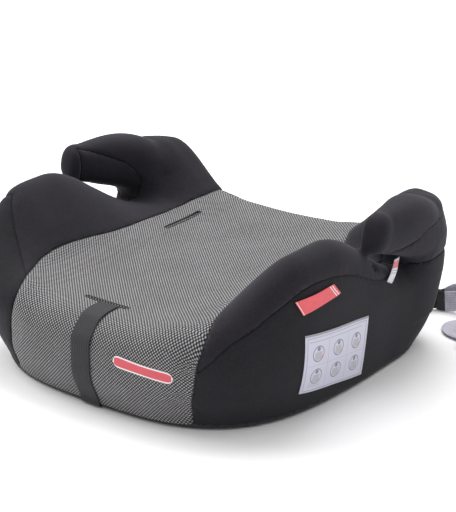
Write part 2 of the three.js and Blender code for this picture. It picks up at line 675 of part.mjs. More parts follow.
const strapShape = outline([
  [UPPER_BAR[0] + loop, UPPER_BAR[1]],
  [UPPER_BAR[0] + loop * 0.7, UPPER_BAR[1] + loop * 0.7],
  [SLIT_Y + 0.9, UPPER_BAR[1] + loop + 1],
  [SLIT_Y + 0.9, topFace(SLIT_Y, 0)[1] - 1],
  [SLIT_Y - 1, topFace(SLIT_Y, 0)[1] + STRAP_LIFT + STRAP_THICK - 0.3],
  ...strapOuter,
  [strapOuter.at(-1)[0] + 1.2, 2.4],
  [strapOuter.at(-1)[0] + 3.4, 0.7],
  [LOWER_BAR[0] - 2, 0.7],
  [LOWER_BAR[0] + loop - 0.6, 4],
  [LOWER_BAR[0] + loop, LOWER_BAR[1]],
  [LOWER_BAR[0] + loop * 0.7, LOWER_BAR[1] + loop * 0.7],
  [LOWER_BAR[0], LOWER_BAR[1] + loop],
  [LOWER_BAR[0] - loop * 0.7, LOWER_BAR[1] + loop * 0.7],
  [LOWER_BAR[0] - loop, LOWER_BAR[1]],
  [LOWER_BAR[0] - loop * 0.7, LOWER_BAR[1] - loop * 0.7],
  [LOWER_BAR[0] + 2.6, LOWER_BAR[1] - loop - 1.4],
  [LOWER_BAR[0] + 2.6, 5],
  [LOWER_BAR[0] - 2.6, 2.3],
  [strapInner.at(-1)[0] + 4.2, 2.3],
  [strapInner.at(-1)[0] + 1.2, 3.2],
  ...strapInner.toReversed(),
  [SLIT_Y - 1.6, topFace(SLIT_Y, 0)[1] + 0.8],
  [SLIT_Y - 0.7, topFace(SLIT_Y, 0)[1] - 3],
  [SLIT_Y - 0.7, UPPER_BAR[1] + loop + 1.4],
  [UPPER_BAR[0] - loop * 0.7, UPPER_BAR[1] + loop * 0.7],
  [UPPER_BAR[0] - loop, UPPER_BAR[1]],
  [UPPER_BAR[0] - loop * 0.7, UPPER_BAR[1] - loop * 0.7],
  [UPPER_BAR[0], UPPER_BAR[1] - loop],
  [UPPER_BAR[0] + loop * 0.7, UPPER_BAR[1] - loop * 0.7],
]);
for (const [y, z] of [UPPER_BAR, LOWER_BAR]) {
  strapShape.holes.push(new THREE.Path().absarc(y, z, barGap, 0, Math.PI * 2, true));
}
add('front_strap', sidePrism(strapShape, STRAP_X - STRAP_WIDTH / 2, STRAP_X + STRAP_WIDTH / 2, 16), WEBBING);

// ---------------------------------------------------------------- slit edgings, tags and labels
// Stitched edging round a slit: a low ring that follows the top of the cover.
function slitEdging([x, y, lengthX, lengthY]) {
  const [hx, hy] = [lengthX / 2, lengthY / 2];
  const [longest, round] = [Math.max(hx, hy), Math.min(hx, hy)];
  const turn = hx > hy ? 0 : Math.PI / 2;
  const corners = [[longest - round, -90], [longest - round, 0], [longest - round, 90],
    [0, 90], [-longest + round, 90], [-longest + round, 180], [-longest + round, 270], [0, 270]];
  const sections = corners.map(([shift, degrees]) => {
    const a = (degrees * Math.PI) / 180;
    return [[0.3, 0.8], [1.9, 0.8], [1.9, 1.7], [0.3, 1.7]].map(([out, up]) => {
      const u = shift + (round + out) * Math.cos(a);
      const v = (round + out) * Math.sin(a);
      const px = x + u * Math.cos(turn) - v * Math.sin(turn);
      const py = y + u * Math.sin(turn) + v * Math.cos(turn);
      return new THREE.Vector3(px, py, topHeight(Math.abs(px), py) + up);
    });
  });
  return closedSweep(sections);
}
add('slit_edging_right', slitEdging(SIDE_SLITS[0]), BLACK_EDGE);
add('slit_edging_left', slitEdging(SIDE_SLITS[1]), BLACK_EDGE);

// A thin sheet between four corners, laid on the form at a given lift.
function patchOnForm(corners, across, up, lift, thick) {
  const [c0, c1, c2, c3] = corners.map((c) => new THREE.Vector3(...c));
  const layer = (level) => {
    const points = [];
    for (let j = 0; j <= up; j += 1) {
      for (let i = 0; i <= across; i += 1) {
        const low = c0.clone().lerp(c1, i / across);
        const high = c3.clone().lerp(c2, i / across);
        points.push(settle(low.lerp(high, j / up), level));
      }
    }
    return points;
  };
  const points = [...layer(lift), ...layer(lift + thick)];
  const half = points.length / 2;
  const at = (i, j) => j * (across + 1) + i;
  const triangles = [];
  const quad = (a, b, c, d) => triangles.push(a, b, c, a, c, d);
  for (let j = 0; j < up; j += 1) {
    for (let i = 0; i < across; i += 1) {
      quad(at(i, j), at(i, j + 1), at(i + 1, j + 1), at(i + 1, j));
      quad(half + at(i, j), half + at(i + 1, j), half + at(i + 1, j + 1), half + at(i, j + 1));
    }
  }
  for (let i = 0; i < across; i += 1) {
    quad(at(i, 0), at(i + 1, 0), half + at(i + 1, 0), half + at(i, 0));
    quad(at(i + 1, up), at(i, up), half + at(i, up), half + at(i + 1, up));
  }
  for (let j = 0; j < up; j += 1) {
    quad(at(0, j + 1), at(0, j), half + at(0, j), half + at(0, j + 1));
    quad(at(across, j), at(across, j + 1), half + at(across, j + 1), half + at(across, j));
  }
  const geometry = new THREE.BufferGeometry();
  geometry.setAttribute('position', new THREE.Float32BufferAttribute(points.flatMap((p) => p.toArray()), 3));
  geometry.setIndex(triangles);
  return geometry;
}
const LABEL_CORNERS = [[187, -80, 30], [200, 18, 29], [206, 18, 88], [192, -80, 88]];
const TAG_CORNERS = [[193, -81, 115], [203, -30, 126], [202, -46, 142], [190, -94, 131]];
const BADGE_CORNERS = [[37, -185, 59], [105, -175, 50], [105, -175, 61], [37, -185, 71]];
add('instruction_label', patchOnForm(LABEL_CORNERS, 8, 4, 0.9, 0.5), LABEL_WHITE);
add('side_tag', patchOnForm(TAG_CORNERS, 6, 2, 1.2, 1.1), RED);
add('front_badge', patchOnForm(BADGE_CORNERS, 6, 1, 0.9, 0.5), RED);

const flat = (points) => points.map(([x, y, z]) => new THREE.Vector3(x, y, z));
const careTag = loft([
  flat([[205.4, 61, 109.1], [206, 61, 109.1], [206, 71, 103.9], [205.4, 71, 103.9]]),
  flat([[206.4, 65, 120], [207, 65, 120], [207, 76, 119], [206.4, 76, 119]]),
  flat([[207.4, 70, 130], [208, 70, 130], [208, 82, 130], [207.4, 82, 130]]),
]);
add('care_tag', careTag, LABEL_WHITE);

// ---------------------------------------------------------------- rear strap with its belt clip
const WEB_THICK = 1.5;
const ANCHOR_ROUTE = [
  [120, 178.4, 21], [121, 192, 20], [127, 210, 17],
  [139, 230, 14.5], [151, 243, 13.8], [162, 251.6, 13.4],
];
const STRAP_ROUTE = [
  [164.2, 252.7, 13.4], [168, 254.2, 13.4], [175, 256.6, 16.5], [187, 258.5, 24],
  [203, 260, 22], [220, 263.4, 17], [231, 264, 16], [240, 263.2, 16], [250, 256, 14],
  [252, 246, 13.4], [243, 239, 13], [228, 236, 10], [213, 229, 6], [206, 218, 3.4],
  [208, 206, 3], [216, 198.4, 3], [226, 196, 3], [238.6, 196, 3],
];
const RETURN_ROUTE = [
  [163.8, 249.4, 13.4], [175, 250.6, 13.6], [190, 251.6, 17],
  [205, 254.6, 17], [219, 259.6, 14], [227, 260.7, 13.6],
];
const FLOOR_CLEAR = 0.4;

// Flat webbing along a route. It stands on edge at roll 0 and lies flat at roll 90 degrees.
function webbing(route, steps, rollAt) {
  const curve = new THREE.CatmullRomCurve3(flat(route), false, 'centripetal');
  const rings = [];
  for (let i = 0; i <= steps; i += 1) {
    const u = i / steps;
    const roll = (rollAt(u) * Math.PI) / 180;
    const tangent = curve.getTangentAt(u);
    const side = new THREE.Vector3(-tangent.y, tangent.x, 0).normalize();
    const across = new THREE.Vector3(0, 0, Math.cos(roll)).addScaledVector(side, Math.sin(roll));
    const through = new THREE.Vector3().crossVectors(tangent, across).normalize();
    across.crossVectors(through, tangent).normalize();
    const reach = (STRAP_WIDTH / 2) * Math.abs(across.z) + (WEB_THICK / 2) * Math.abs(through.z);
    const centre = curve.getPointAt(u);
    centre.z = Math.max(centre.z, reach + FLOOR_CLEAR);
    const [w, t] = [STRAP_WIDTH / 2, WEB_THICK / 2];
    const section = [[-w, 0], [-w + 0.8, -t], [w - 0.8, -t], [w, 0], [w - 0.8, t], [-w + 0.8, t]];
    const place = ([a, b]) => centre.clone().addScaledVector(across, a).addScaledVector(through, b);
    rings.push(section.map(place));
  }
  return loft(rings);
}
add('rear_anchor_pin', anchorPin(0), STEEL);
add('rear_anchor_strap', webbing(ANCHOR_ROUTE, 9, () => 0), WEBBING);
add('positioning_strap', webbing(STRAP_ROUTE, 36, (u) => 90 * step(0.5, 0.82, u)), PALE_WEBBING);
add('positioning_strap_return', webbing(RETURN_ROUTE, 8, () => 0), PALE_WEBBING);

// Keeper loop that holds the two layers of the strap together.
const KEEPER_X = 231;
const keeperFrame = outline([[-4, -15.5], [4, -15.5], [4, 15.5], [-4, 15.5]]);
keeperFrame.holes.push(outline([[-2.9, -13.1], [-2.9, 13.1], [2.9, 13.1], [2.9, -13.1]]));
const keeper = new THREE.ExtrudeGeometry(keeperFrame, { depth: 8, bevelEnabled: false });
keeper.applyMatrix4(FROM_SIDE).translate(KEEPER_X, 263.4, 16);
add('strap_keeper', keeper, CLIP_GREY);

// Belt clip, lying flat: a C-shaped body whose long side opens as a gate.
const CLIP_AT = new THREE.Vector3(230, 196, 0.4);
const CLIP_THICK = 5.2;
const CLIP_HALF = 31;
const HINGE = [30, -27];
const slab = (shape, z0, z1) => toSolid(planPrism(shape, z0, z1, 8));
const clipBody = () => {
  const base = outline([
    [0, -16], [5, -CLIP_HALF], [25.5, -CLIP_HALF], [25.5, -25], [13, -25],
    [13, 25], [26.5, 25], [26.5, CLIP_HALF], [5, CLIP_HALF], [0, 16],
  ]);
  const boss = new THREE.Shape().absarc(...HINGE, 4, 0, Math.PI * 2);
  const lug = outline([[24, -CLIP_HALF], [30, -CLIP_HALF], [30, -23], [24, -25]]);
  const half = CLIP_THICK / 2 - GAP / 2;
  const pinHole = new THREE.Shape().absarc(...HINGE, 1.8, 0, Math.PI * 2);
  return slab(base, 0, CLIP_THICK).add(slab(boss, 0, half)).add(slab(lug, 0, half))
    .subtract(slab(pinHole, -1, 8))
    .subtract(toSolid(box(-1, 9, -13, 13, CLIP_THICK / 2 - 1.3, CLIP_THICK / 2 + 1.3)));
};
const clipGate = () => {
  const bar = outline([[27, -20], [33, -20], [33, 30], [30, CLIP_HALF], [27, CLIP_HALF]]);
  const boss = new THREE.Shape().absarc(...HINGE, 4, 0, Math.PI * 2);
  const lug = outline([[27, -27], [34, -27], [33, -18], [27, -18]]);
  const half = CLIP_THICK / 2 + GAP / 2;
  const pinHole = new THREE.Shape().absarc(...HINGE, 1.8, 0, Math.PI * 2);
  return slab(bar, 0, CLIP_THICK).add(slab(boss, half, CLIP_THICK)).add(slab(lug, half, CLIP_THICK))
    .subtract(slab(pinHole, -1, 8));
};
const clipPin = () => {
  const head = CLIP_THICK + 0.3;
  const profile = [[0, 0.1], [1.5, 0.1], [1.5, head], [3, head], [2.4, head + 0.9], [0, head + 0.9]];
  const pin = new THREE.LatheGeometry(profile.map(([r, h]) => new THREE.Vector2(r, h)), 14);
  return pin.rotateX(Math.PI / 2).translate(HINGE[0], HINGE[1], 0);
};
const placeClip = (geometry) => geometry.translate(CLIP_AT.x, CLIP_AT.y, CLIP_AT.z);
add('belt_clip_body', placeClip(toGeometry(clipBody())), CLIP_RED);
add('belt_clip_gate', placeClip(toGeometry(clipGate())), CLIP_RED);
add('belt_clip_pin', placeClip(clipPin()), STEEL);

export default group;
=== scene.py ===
import math

import bmesh
import bpy
import numpy as np
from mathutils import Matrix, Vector, kdtree


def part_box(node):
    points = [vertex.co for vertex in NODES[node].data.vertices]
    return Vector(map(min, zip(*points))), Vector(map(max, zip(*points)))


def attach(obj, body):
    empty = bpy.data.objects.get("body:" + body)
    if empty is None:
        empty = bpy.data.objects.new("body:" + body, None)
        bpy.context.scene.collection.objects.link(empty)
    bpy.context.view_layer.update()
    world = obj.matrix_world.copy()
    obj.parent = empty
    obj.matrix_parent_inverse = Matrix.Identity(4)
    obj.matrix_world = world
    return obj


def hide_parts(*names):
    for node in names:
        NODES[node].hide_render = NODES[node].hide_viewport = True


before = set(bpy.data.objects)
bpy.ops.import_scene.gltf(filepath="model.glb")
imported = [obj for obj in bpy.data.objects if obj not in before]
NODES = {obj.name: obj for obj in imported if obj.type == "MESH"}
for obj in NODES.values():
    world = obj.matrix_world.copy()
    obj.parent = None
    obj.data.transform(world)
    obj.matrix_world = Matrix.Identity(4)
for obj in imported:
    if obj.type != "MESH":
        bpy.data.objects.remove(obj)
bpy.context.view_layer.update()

MM = 0.001

# ---- driving numbers: lengths in millimetres, and a few counts, shares and exponents
HALF_WIDTH, PLAN_CENTRE, FRONT_REACH, REAR_REACH = 196, 40, 216, 141
SEAT_HEIGHT, BOLSTER_RISE, REAR_RISE, EDGE_ROUND = 101, 67, 54, 34
ARM_LINE = [(164, 140, 55), (193, 165, 167), (199.5, 95.5, 153), (204, 39, 166.5)]
ARM_ROOT_RADIUS, ARM_TIP_RADIUS, ARM_NARROWING = 38, 20.75, 0.46
ARM_SQUARE, TIP_SQUARE, TIP_LENGTH = 2.5, 3.2, 0.9
ARM_BLEND = 15
HEM_Z = 5.6
SKIN_STEP = 3.4
CLOTH = 2.2
SEAM_DEPTH, SEAM_REACH, SEAM_SHADE = 1.5, 7.0, 12.0
PUFF, PUFF_REACH, GATHER, GATHER_REACH = 1.3, 26, 0.35, 16
BRIDGE_ROUNDS = 380
STRAP_WIDTH, STRAP_X, SLIT_Y = 25, 3, -143
STRAP_LIFT = 2.5
TAPE_BULGE = 0.12
SECTION_POINTS = 16
BLACK_UP_TO_X = 173
MESH_PITCH, WEB_RIB, WEB_WARP = 0.0037, 0.0016, 0.0023  # in metres
FOCAL_PIXELS, PHOTO_PIXELS = 1443, 512


# ---- small maths helpers
def step(a, b, x):
    """Smooth step from 0 at a to 1 at b."""
    t = np.clip((x - a) / (b - a), 0, 1)
    return t * t * (3 - 2 * t)


def smooth_min(a, b, k):
    h = np.clip(0.5 + 0.5 * (b - a) / k, 0, 1)
    return b + (a - b) * h - k * h * (1 - h)


def smooth_max(a, b, k):
    return -smooth_min(-a, -b, k)


def step_lengths(points):
    """Lengths of the steps along a line of points."""
    return np.linalg.norm(np.diff(points, axis=0), axis=1)


def run_along(points):
    """Distance run at each point of a line."""
    return np.concatenate([[0], np.cumsum(step_lengths(points))])


def resampled(stops, run, line):
    return np.stack([np.interp(stops, run, line[:, i]) for i in range(3)], axis=1)


def curve_through(points, spacing):
    """Points on a centripetal Catmull-Rom curve through these points, about `spacing` apart."""
    p = np.array(points, float)
    p = np.vstack([2 * p[0] - p[1], p, 2 * p[-1] - p[-2]])
    out = []
    for a, b, c, d in zip(p, p[1:], p[2:], p[3:]):
        t0 = 0.0
        t1 = t0 + np.linalg.norm(b - a) ** 0.5
        t2 = t1 + np.linalg.norm(c - b) ** 0.5
        t3 = t2 + np.linalg.norm(d - c) ** 0.5
        n = max(4, int(np.linalg.norm(c - b) / spacing * 2))
        t = np.linspace(t1, t2, n, endpoint=False)[:, None]
        a1 = (t1 - t) / (t1 - t0) * a + (t - t0) / (t1 - t0) * b
        a2 = (t2 - t) / (t2 - t1) * b + (t - t1) / (t2 - t1) * c
        a3 = (t3 - t) / (t3 - t2) * c + (t - t2) / (t3 - t2) * d
        b1 = (t2 - t) / (t2 - t0) * a1 + (t - t0) / (t2 - t0) * a2
        b2 = (t3 - t) / (t3 - t1) * a2 + (t - t1) / (t3 - t1) * a3
        out.append((t2 - t) / (t2 - t1) * b1 + (t - t1) / (t2 - t1) * b2)
    out = np.vstack([*out, p[-2:-1]])
    run = run_along(out)
    return resampled(np.linspace(0, run[-1], max(2, int(round(run[-1] / spacing)) + 1)), run, out)


# ---- the upholstered form
def top_height(x, y):
    """Height of the seat's top surface with its bolsters and rear corners."""
    ax = np.abs(x)
    dish = -3 * np.exp(-((ax / 60) ** 2)) + 7 * step(60, 110, ax) + 9 * step(90, 175, y)
    corner = REAR_RISE * step(116, 158, y) * step(92, 173, ax)
    bolster = BOLSTER_RISE * step(-202, -81, y) * (1 - step(-39, 110, y))
    return SEAT_HEIGHT + dish + corner + bolster * step(98, 188, ax)


def plan_distance(x, y, z):
    """Distance, nearly, outside the seat's outline as seen from above."""
    ax = np.maximum(np.abs(x), 1e-3)
    front = y < PLAN_CENTRE
    swell = 15 * step(-5, 45, z) - 6 * step(70, 140, z)
    lean = 14 * (1 - np.exp(-np.maximum(z, 0) / 60))
    reach = np.where(front, FRONT_REACH + swell, REAR_REACH + swell * 0.5 + 4 * step(40, 150, z))
    waist = 4 * step(60, -60, y) - 4 * step(0, 60, z) * step(20, -80, y) - 5 * step(60, 160, y)
    half = HALF_WIDTH + lean - waist
    n = np.where(front, 3.05 + 0.57 * step(20, 90, z), 4.2 + 4.3 * step(-5, 55, z))
    u, v = ax / half, np.abs(y - PLAN_CENTRE) / reach
    r = np.maximum((u**n + v**n) ** (1 / n), 1e-6)
    slope = np.hypot(u ** (n - 1) / half, v ** (n - 1) / reach) * r ** (1 - n)
    return (r - 1) / np.maximum(slope, 1e-4)


def bezier(t):
    """Points and directions along the armrest's middle line."""
    p = np.array(ARM_LINE, float)
    t = np.asarray(t, float)[:, None]
    at = (1 - t) ** 3 * p[0] + 3 * (1 - t) ** 2 * t * p[1] + 3 * (1 - t) * t**2 * p[2] + t**3 * p[3]
    going = (1 - t) ** 2 * (p[1] - p[0]) + 2 * (1 - t) * t * (p[2] - p[1]) + t**2 * (p[3] - p[2])
    return at, going / np.linalg.norm(going, axis=1)[:, None]


ARM_T = np.linspace(0, 1, 33)
ARM_AT, ARM_GOING = bezier(ARM_T)
ARM_ACROSS = np.array([1.0, 0, 0]) - ARM_GOING * ARM_GOING[:, :1]
ARM_ACROSS /= np.linalg.norm(ARM_ACROSS, axis=1)[:, None]
ARM_UP = np.cross(ARM_GOING, ARM_ACROSS)


def arm_distance(x, y, z):
    """Distance, nearly, outside the armrest on that side of the seat."""
    p = np.stack([np.abs(x), y, z], axis=-1)
    flat = p.reshape(-1, 3)
    out = np.full(len(flat), 60.0)
    near = (flat[:, 0] > 110) & (flat[:, 1] > -30) & (flat[:, 2] > 40)
    q = flat[near]
    if len(q):
        gap = np.stack([((q - c) ** 2).sum(1) for c in ARM_AT], axis=1)
        i = gap.argmin(1)
        ahead = ((q - ARM_AT[i]) * ARM_GOING[i]).sum(1)
        t = np.clip(i + ahead / step_lengths(ARM_AT).mean(), 0, len(ARM_T) - 1)
        lo = np.minimum(t.astype(int), len(ARM_T) - 2)
        f = (t - lo)[:, None]
        mix = lambda a: a[lo] * (1 - f) + a[lo + 1] * f
        w = q - mix(ARM_AT)
        share = (t / (len(ARM_T) - 1)) ** 1.95
        tall = ARM_ROOT_RADIUS + (ARM_TIP_RADIUS - ARM_ROOT_RADIUS) * share
        wide = tall / (1 + ARM_NARROWING * share)
        a, b, c = [np.abs((w * mix(k)).sum(1)) for k in (ARM_ACROSS, ARM_UP, ARM_GOING)]
        ring = ((a / wide) ** ARM_SQUARE + (b / tall) ** ARM_SQUARE) ** (1 / ARM_SQUARE)
        cap = c / (tall * TIP_LENGTH)
        out[near] = ((ring**TIP_SQUARE + cap**TIP_SQUARE) ** (1 / TIP_SQUARE) - 1) * tall
    return out.reshape(p.shape[:-1])


def form(x, y, z):
    """The upholstered form as one field: negative inside, 0 on its surface."""
    round_by = EDGE_ROUND - 18 * step(70, 140, y)
    body = smooth_max(z - top_height(x, y), plan_distance(x, y, z), round_by)
    body = np.maximum(body, -(z + 14))
    return smooth_min(body, arm_distance(x, y, z), ARM_BLEND)


def form_at(p):
    return form(p[:, 0], p[:, 1], p[:, 2])


def gradient(field, p, e=0.4):
    g = np.empty_like(p)
    for k in range(3):
        d = np.zeros(3)
        d[k] = e
        g[:, k] = (field(p + d) - field(p - d)) / (2 * e)
    return g


def settle(p, level=0.0, rounds=6):
    """Points moved on to the level of the form that lies `level` mm outside it."""
    p = np.array(p, float).reshape(-1, 3)
    for _ in range(rounds):
        g = gradient(form_at, p)
        p = p - g * ((form_at(p) - level) / np.maximum((g**2).sum(1), 0.05) * 0.85)[:, None]
    return p


def unit(v):
    return v / np.maximum(np.linalg.norm(v, axis=-1, keepdims=True), 1e-9)


def skin_mesh(spacing):
    """Surface nets on the form: points and quads."""
    axes = [np.arange(lo, hi + spacing, spacing) for lo, hi in ((-243, 243), (-212, 212), (-26, 212))]
    value = form(*np.meshgrid(*axes, indexing="ij"))
    inside = value < 0
    shape = np.array(value.shape) - 1
    total, count = np.zeros((*shape, 3)), np.zeros(tuple(shape))
    for d in range(3):
        others = [k for k in range(3) if k != d]
        for m in (0, 1):
            for n in (0, 1):
                a = [slice(0, s) for s in shape]
                a[others[0]] = slice(m, m + shape[others[0]])
                a[others[1]] = slice(n, n + shape[others[1]])
                b = list(a)
                b[d] = slice(1, 1 + shape[d])
                va, vb = value[tuple(a)], value[tuple(b)]
                hit = inside[tuple(a)] != inside[tuple(b)]
                t = np.where(hit, va / np.where(hit, va - vb, 1), 0)
                spot = np.zeros((*shape, 3))
                spot[..., d] = t
                spot[..., others[0]] = m
                spot[..., others[1]] = n
                total += spot * hit[..., None]
                count += hit
    used = count > 0
    index = np.full(tuple(shape), -1)
    index[used] = np.arange(used.sum())
    cells = np.argwhere(used)
    origin = np.array([a[0] for a in axes])
    points = origin + (cells + total[used] / count[used][:, None]) * spacing
    quads = []
    for d in range(3):
        p, q = [(d + 1) % 3, (d + 2) % 3]
        a = [slice(1, s) for s in shape]
        b = list(a)
        b[d] = slice(2, shape[d] + 1)
        va, vb = inside[tuple(a)], inside[tuple(b)]
        for flip, hit in ((False, va & ~vb), (True, ~va & vb)):
            at = np.argwhere(hit) + 1
            ep, eq = np.eye(3, dtype=int)[p], np.eye(3, dtype=int)[q]
            ring = [at - ep - eq, at - eq, at, at - ep]
            ids = np.stack([index[tuple(r.T)] for r in ring], axis=1)
            quads.append(ids[:, ::-1] if flip else ids)
    return points, np.vstack(quads)


def spread(points, quads, rounds):
    """Evens the points out over the form."""
    a = np.concatenate([quads, np.roll(quads, 1, axis=1)]).ravel()
    b = np.concatenate([np.roll(quads, -1, axis=1), quads]).ravel()
    for _ in range(rounds):
        total = np.zeros_like(points)
        np.add.at(total, a, points[b])
        count = np.bincount(a, minlength=len(points))[:, None]
        points = settle(total / count, rounds=2)
    return points


# ---- seams of the cover
def along(table, t):
    """A table's value at t, with its corners softened."""
    table = np.array(table, float)
    return sum(np.interp(t + d, table[:, 0], table[:, 1]) for d in (-7, -3.5, 0, 3.5, 7)) / 5


# x of the seat panel's edges against y + z, which grows from the front hem to the rear edge
EDGE_REAR = [(48, 120), (76, 118), (105, 115), (137, 115), (176, 118), (214, 119), (245, 110), (265, 103),
             (291, 101)]
EDGE_RIGHT = [(-163, 116), (-142, 123), (-127, 129), (-105, 134), (-78, 139), (-54, 139), (-34, 136),
              (-11, 133), (14, 127), *EDGE_REAR]
EDGE_LEFT = [(-157, 117), (-147, 110), (-138, 105), (-121, 102), (-104, 98), (-82, 98), (-59, 102),
             (-42, 108), (-25, 113), (-5, 118), (24, 120), *EDGE_REAR]
# z of the side panels' top edge against how far back and outward a point lies
SIDE_REAR = [(139, 122), (150, 117), (170, 111), (203, 110), (206, 112), (224, 112), (235, 113), (260, 115)]
SIDE_RIGHT = [(-75, 58), (-62, 66), (-59, 70), (-52, 78), (-45, 85), (-38, 92), (-33, 98), (-23, 105),
              (-10, 112), (2, 121), (14, 129), (31, 138), (43, 144), (60, 148), (80, 147), (102, 142),
              (124, 132), *SIDE_REAR]
SIDE_LEFT = [(-75, 200), (21, 175), (43, 160), (60, 152), (80, 147), (102, 142), (124, 132), *SIDE_REAR]
# plan line inboard of which nothing is side panel: x against y
INBOARD_REAR = [(120, 172), (150, 128), (165, 112), (200, 106)]
INBOARD_RIGHT = [(-230, 60), (-150, 100), (-120, 128), (-90, 155), (-60, 172), *INBOARD_REAR]
INBOARD_LEFT = [(-230, 50), (-178, 84), (-160, 101), (-151, 109), (-140, 124), (-133, 134), (-126, 146),
                (-118, 157), (-110, 167), (-104, 173), (-90, 181), (-40, 183), (60, 178), *INBOARD_REAR]
REAR_SEAM_Z, REAR_HALF, REAR_FROM_Y = 88, 118, 140
# armrest seams in side view: the inner one, and the heights of the two that run round the outside
UNDER_INNER = [(0, 190), (30, 187), (46, 181), (66, 171), (76, 166), (89, 159), (98, 151), (105, 142),
               (107, 132), (106, 122), (103, 113), (96, 104), (0, 104)]
UNDER_TOP = [(-50, 138), (40, 140), (65, 143), (77, 144), (89, 148), (99, 152), (111, 155), (129, 157),
             (200, 158)]
UNDER_LOW = [(60, 127), (92, 121), (100, 116), (107, 112), (120, 111.5), (130, 112.5), (200, 116)]
ARM_FROM_X, ARM_INNER_X, ARM_OUTER_X = 100, 201.5, 201
TIP_INNER_Y, TIP_OUTER_Y, CORNER_FROM_Y = 30, 33, 118


def polygon_distance(a, b, polygon):
    """Signed distance from points (a, b) to a polygon: negative inside."""
    corners = np.array(polygon, float)
    best, inside = np.full(a.shape, 1e9), np.zeros(a.shape, bool)
    for (x0, y0), (x1, y1) in zip(corners, np.roll(corners, -1, axis=0)):
        ex, ey = x1 - x0, y1 - y0
        t = np.clip(((a - x0) * ex + (b - y0) * ey) / (ex * ex + ey * ey), 0, 1)
        best = np.minimum(best, np.hypot(a - x0 - ex * t, b - y0 - ey * t))
        crosses = ((y0 > b) != (y1 > b)) & (a < ex * (b - y0) / (y1 - y0 + 1e-12) + x0)
        inside ^= crosses
    return np.where(inside, -best, best)


def seat_side(p):
    """Negative on the mesh seat panel."""
    x, y, z = p.T
    t = np.where(y > 150, np.maximum(y + z, 268), y + z)
    return np.maximum(x - along(EDGE_RIGHT, t), -x - along(EDGE_LEFT, t))


def rear_side(p):
    """Negative on the rear panel."""
    x, y, z = p.T
    return np.maximum.reduce([np.abs(x) - REAR_HALF, z - REAR_SEAM_Z, REAR_FROM_Y - y])


def side_side(side):
    """Negative on a side panel."""
    table, inboard = (SIDE_RIGHT, INBOARD_RIGHT) if side > 0 else (SIDE_LEFT, INBOARD_LEFT)

    def signed(p):
        x, y, z = p.T
        back = 0.8 * y + 0.6 * side * x
        steep = (along(table, back + 3) - along(table, back - 3)) / 6
        rise = (z - along(table, back)) / np.sqrt(1 + steep**2)
        lean = (along(inboard, y + 3) - along(inboard, y - 3)) / 6
        return np.maximum(rise, (along(inboard, y) - side * x) / np.sqrt(1 + lean**2))
    return signed


def under_side(side):
    """Negative under an armrest and on the strip that runs on from there round the rear corner."""
    def signed(p):
        x, y, z = p.T
        out = side * x
        arm = arm_distance(x, y, z)
        shifted = y - 0.3 * np.clip(out - 168, 0, 40) * step(150, 130, z)
        inner = np.maximum.reduce([polygon_distance(shifted, z, UNDER_INNER), out - ARM_INNER_X, arm - 5,
                                   TIP_INNER_Y - y, ARM_FROM_X - out])
        top = along(UNDER_TOP, y) - 42 * step(182, 126, out)
        band = np.maximum.reduce([z - top, along(UNDER_LOW, y) - z, -14 - plan_distance(x, y, z)])
        outer = np.maximum.reduce([band, ARM_OUTER_X - out, TIP_OUTER_Y - y])
        rear = np.maximum.reduce([band, CORNER_FROM_Y - y, ARM_FROM_X - out])
        return np.minimum(inner, np.minimum(outer, rear))
    return signed


def slot_side(x0, y0, half_x, half_y, round_by=1.2):
    """Positive outside a slit of that half length and half width."""
    def signed(p):
        x, y, z = p.T
        qx, qy = np.abs(x - x0) - half_x + round_by, np.abs(y - y0) - half_y + round_by
        away = np.hypot(np.maximum(qx, 0), np.maximum(qy, 0)) + np.minimum(np.maximum(qx, qy), 0) - round_by
        return np.where(z > 80, -away, -50)
    return signed


def snap(points, signed, spacing, settle_back=True):
    """Moves points that lie close to a seam on to it, so that the cut leaves no slivers."""
    s = signed(points)
    close = np.abs(s) < 0.22 * spacing
    if close.any():
        p = points[close]
        g = gradient(signed, p, 0.3)
        size = (g**2).sum(1)
        move = np.where(size > 0.2, signed(p) / np.maximum(size, 0.2), 0)
        p = p - g * move[:, None]
        points = points.copy()
        points[close] = settle(p, rounds=2) if settle_back else p
    return points


def cut(points, triangles, signed):
    """Splits triangles along a signed field: the grown points, the triangles inside and those outside."""
    s = signed(points)
    s = np.where(np.abs(s) < 0.02, 0.0, s)
    whole_in = (s[triangles] <= 0).all(1)
    whole_out = (s[triangles] >= 0).all(1) & ~whole_in
    inner, outer = [triangles[whole_in]], [triangles[whole_out]]
    extra, made, base = [], {}, len(points)

    def crossing(i, j):
        key = (i, j) if i < j else (j, i)
        if key not in made:
            t = s[key[0]] / (s[key[0]] - s[key[1]])
            extra.append(points[key[0]] * (1 - t) + points[key[1]] * t)
            made[key] = base + len(extra) - 1
        return made[key]

    ins, outs = [], []
    for tri in triangles[~whole_in & ~whole_out]:
        for sign, bucket in ((1, ins), (-1, outs)):
            ring = []
            for k in range(3):
                i, j = int(tri[k]), int(tri[(k + 1) % 3])
                if s[i] * sign <= 0:
                    ring.append(i)
                if s[i] * s[j] < 0:
                    ring.append(crossing(i, j))
            for k in range(1, len(ring) - 1):
                bucket.append((ring[0], ring[k], ring[k + 1]))
    if ins:
        inner.append(np.array(ins))
    if outs:
        outer.append(np.array(outs))
    if extra:
        points = np.vstack([points, np.array(extra)])
    return points, np.vstack(inner), np.vstack(outer)


def compact(points, triangles):
    """Drops the points that no triangle uses."""
    used, back = np.unique(triangles, return_inverse=True)
    return points[used], back.reshape(-1, 3)


def edge_points(triangles):
    """The points on a mesh's open edges."""
    e = np.sort(np.concatenate([triangles[:, [0, 1]], triangles[:, [1, 2]], triangles[:, [2, 0]]]), axis=1)
    once, counts = np.unique(e, axis=0, return_counts=True)
    return np.unique(once[counts == 1])


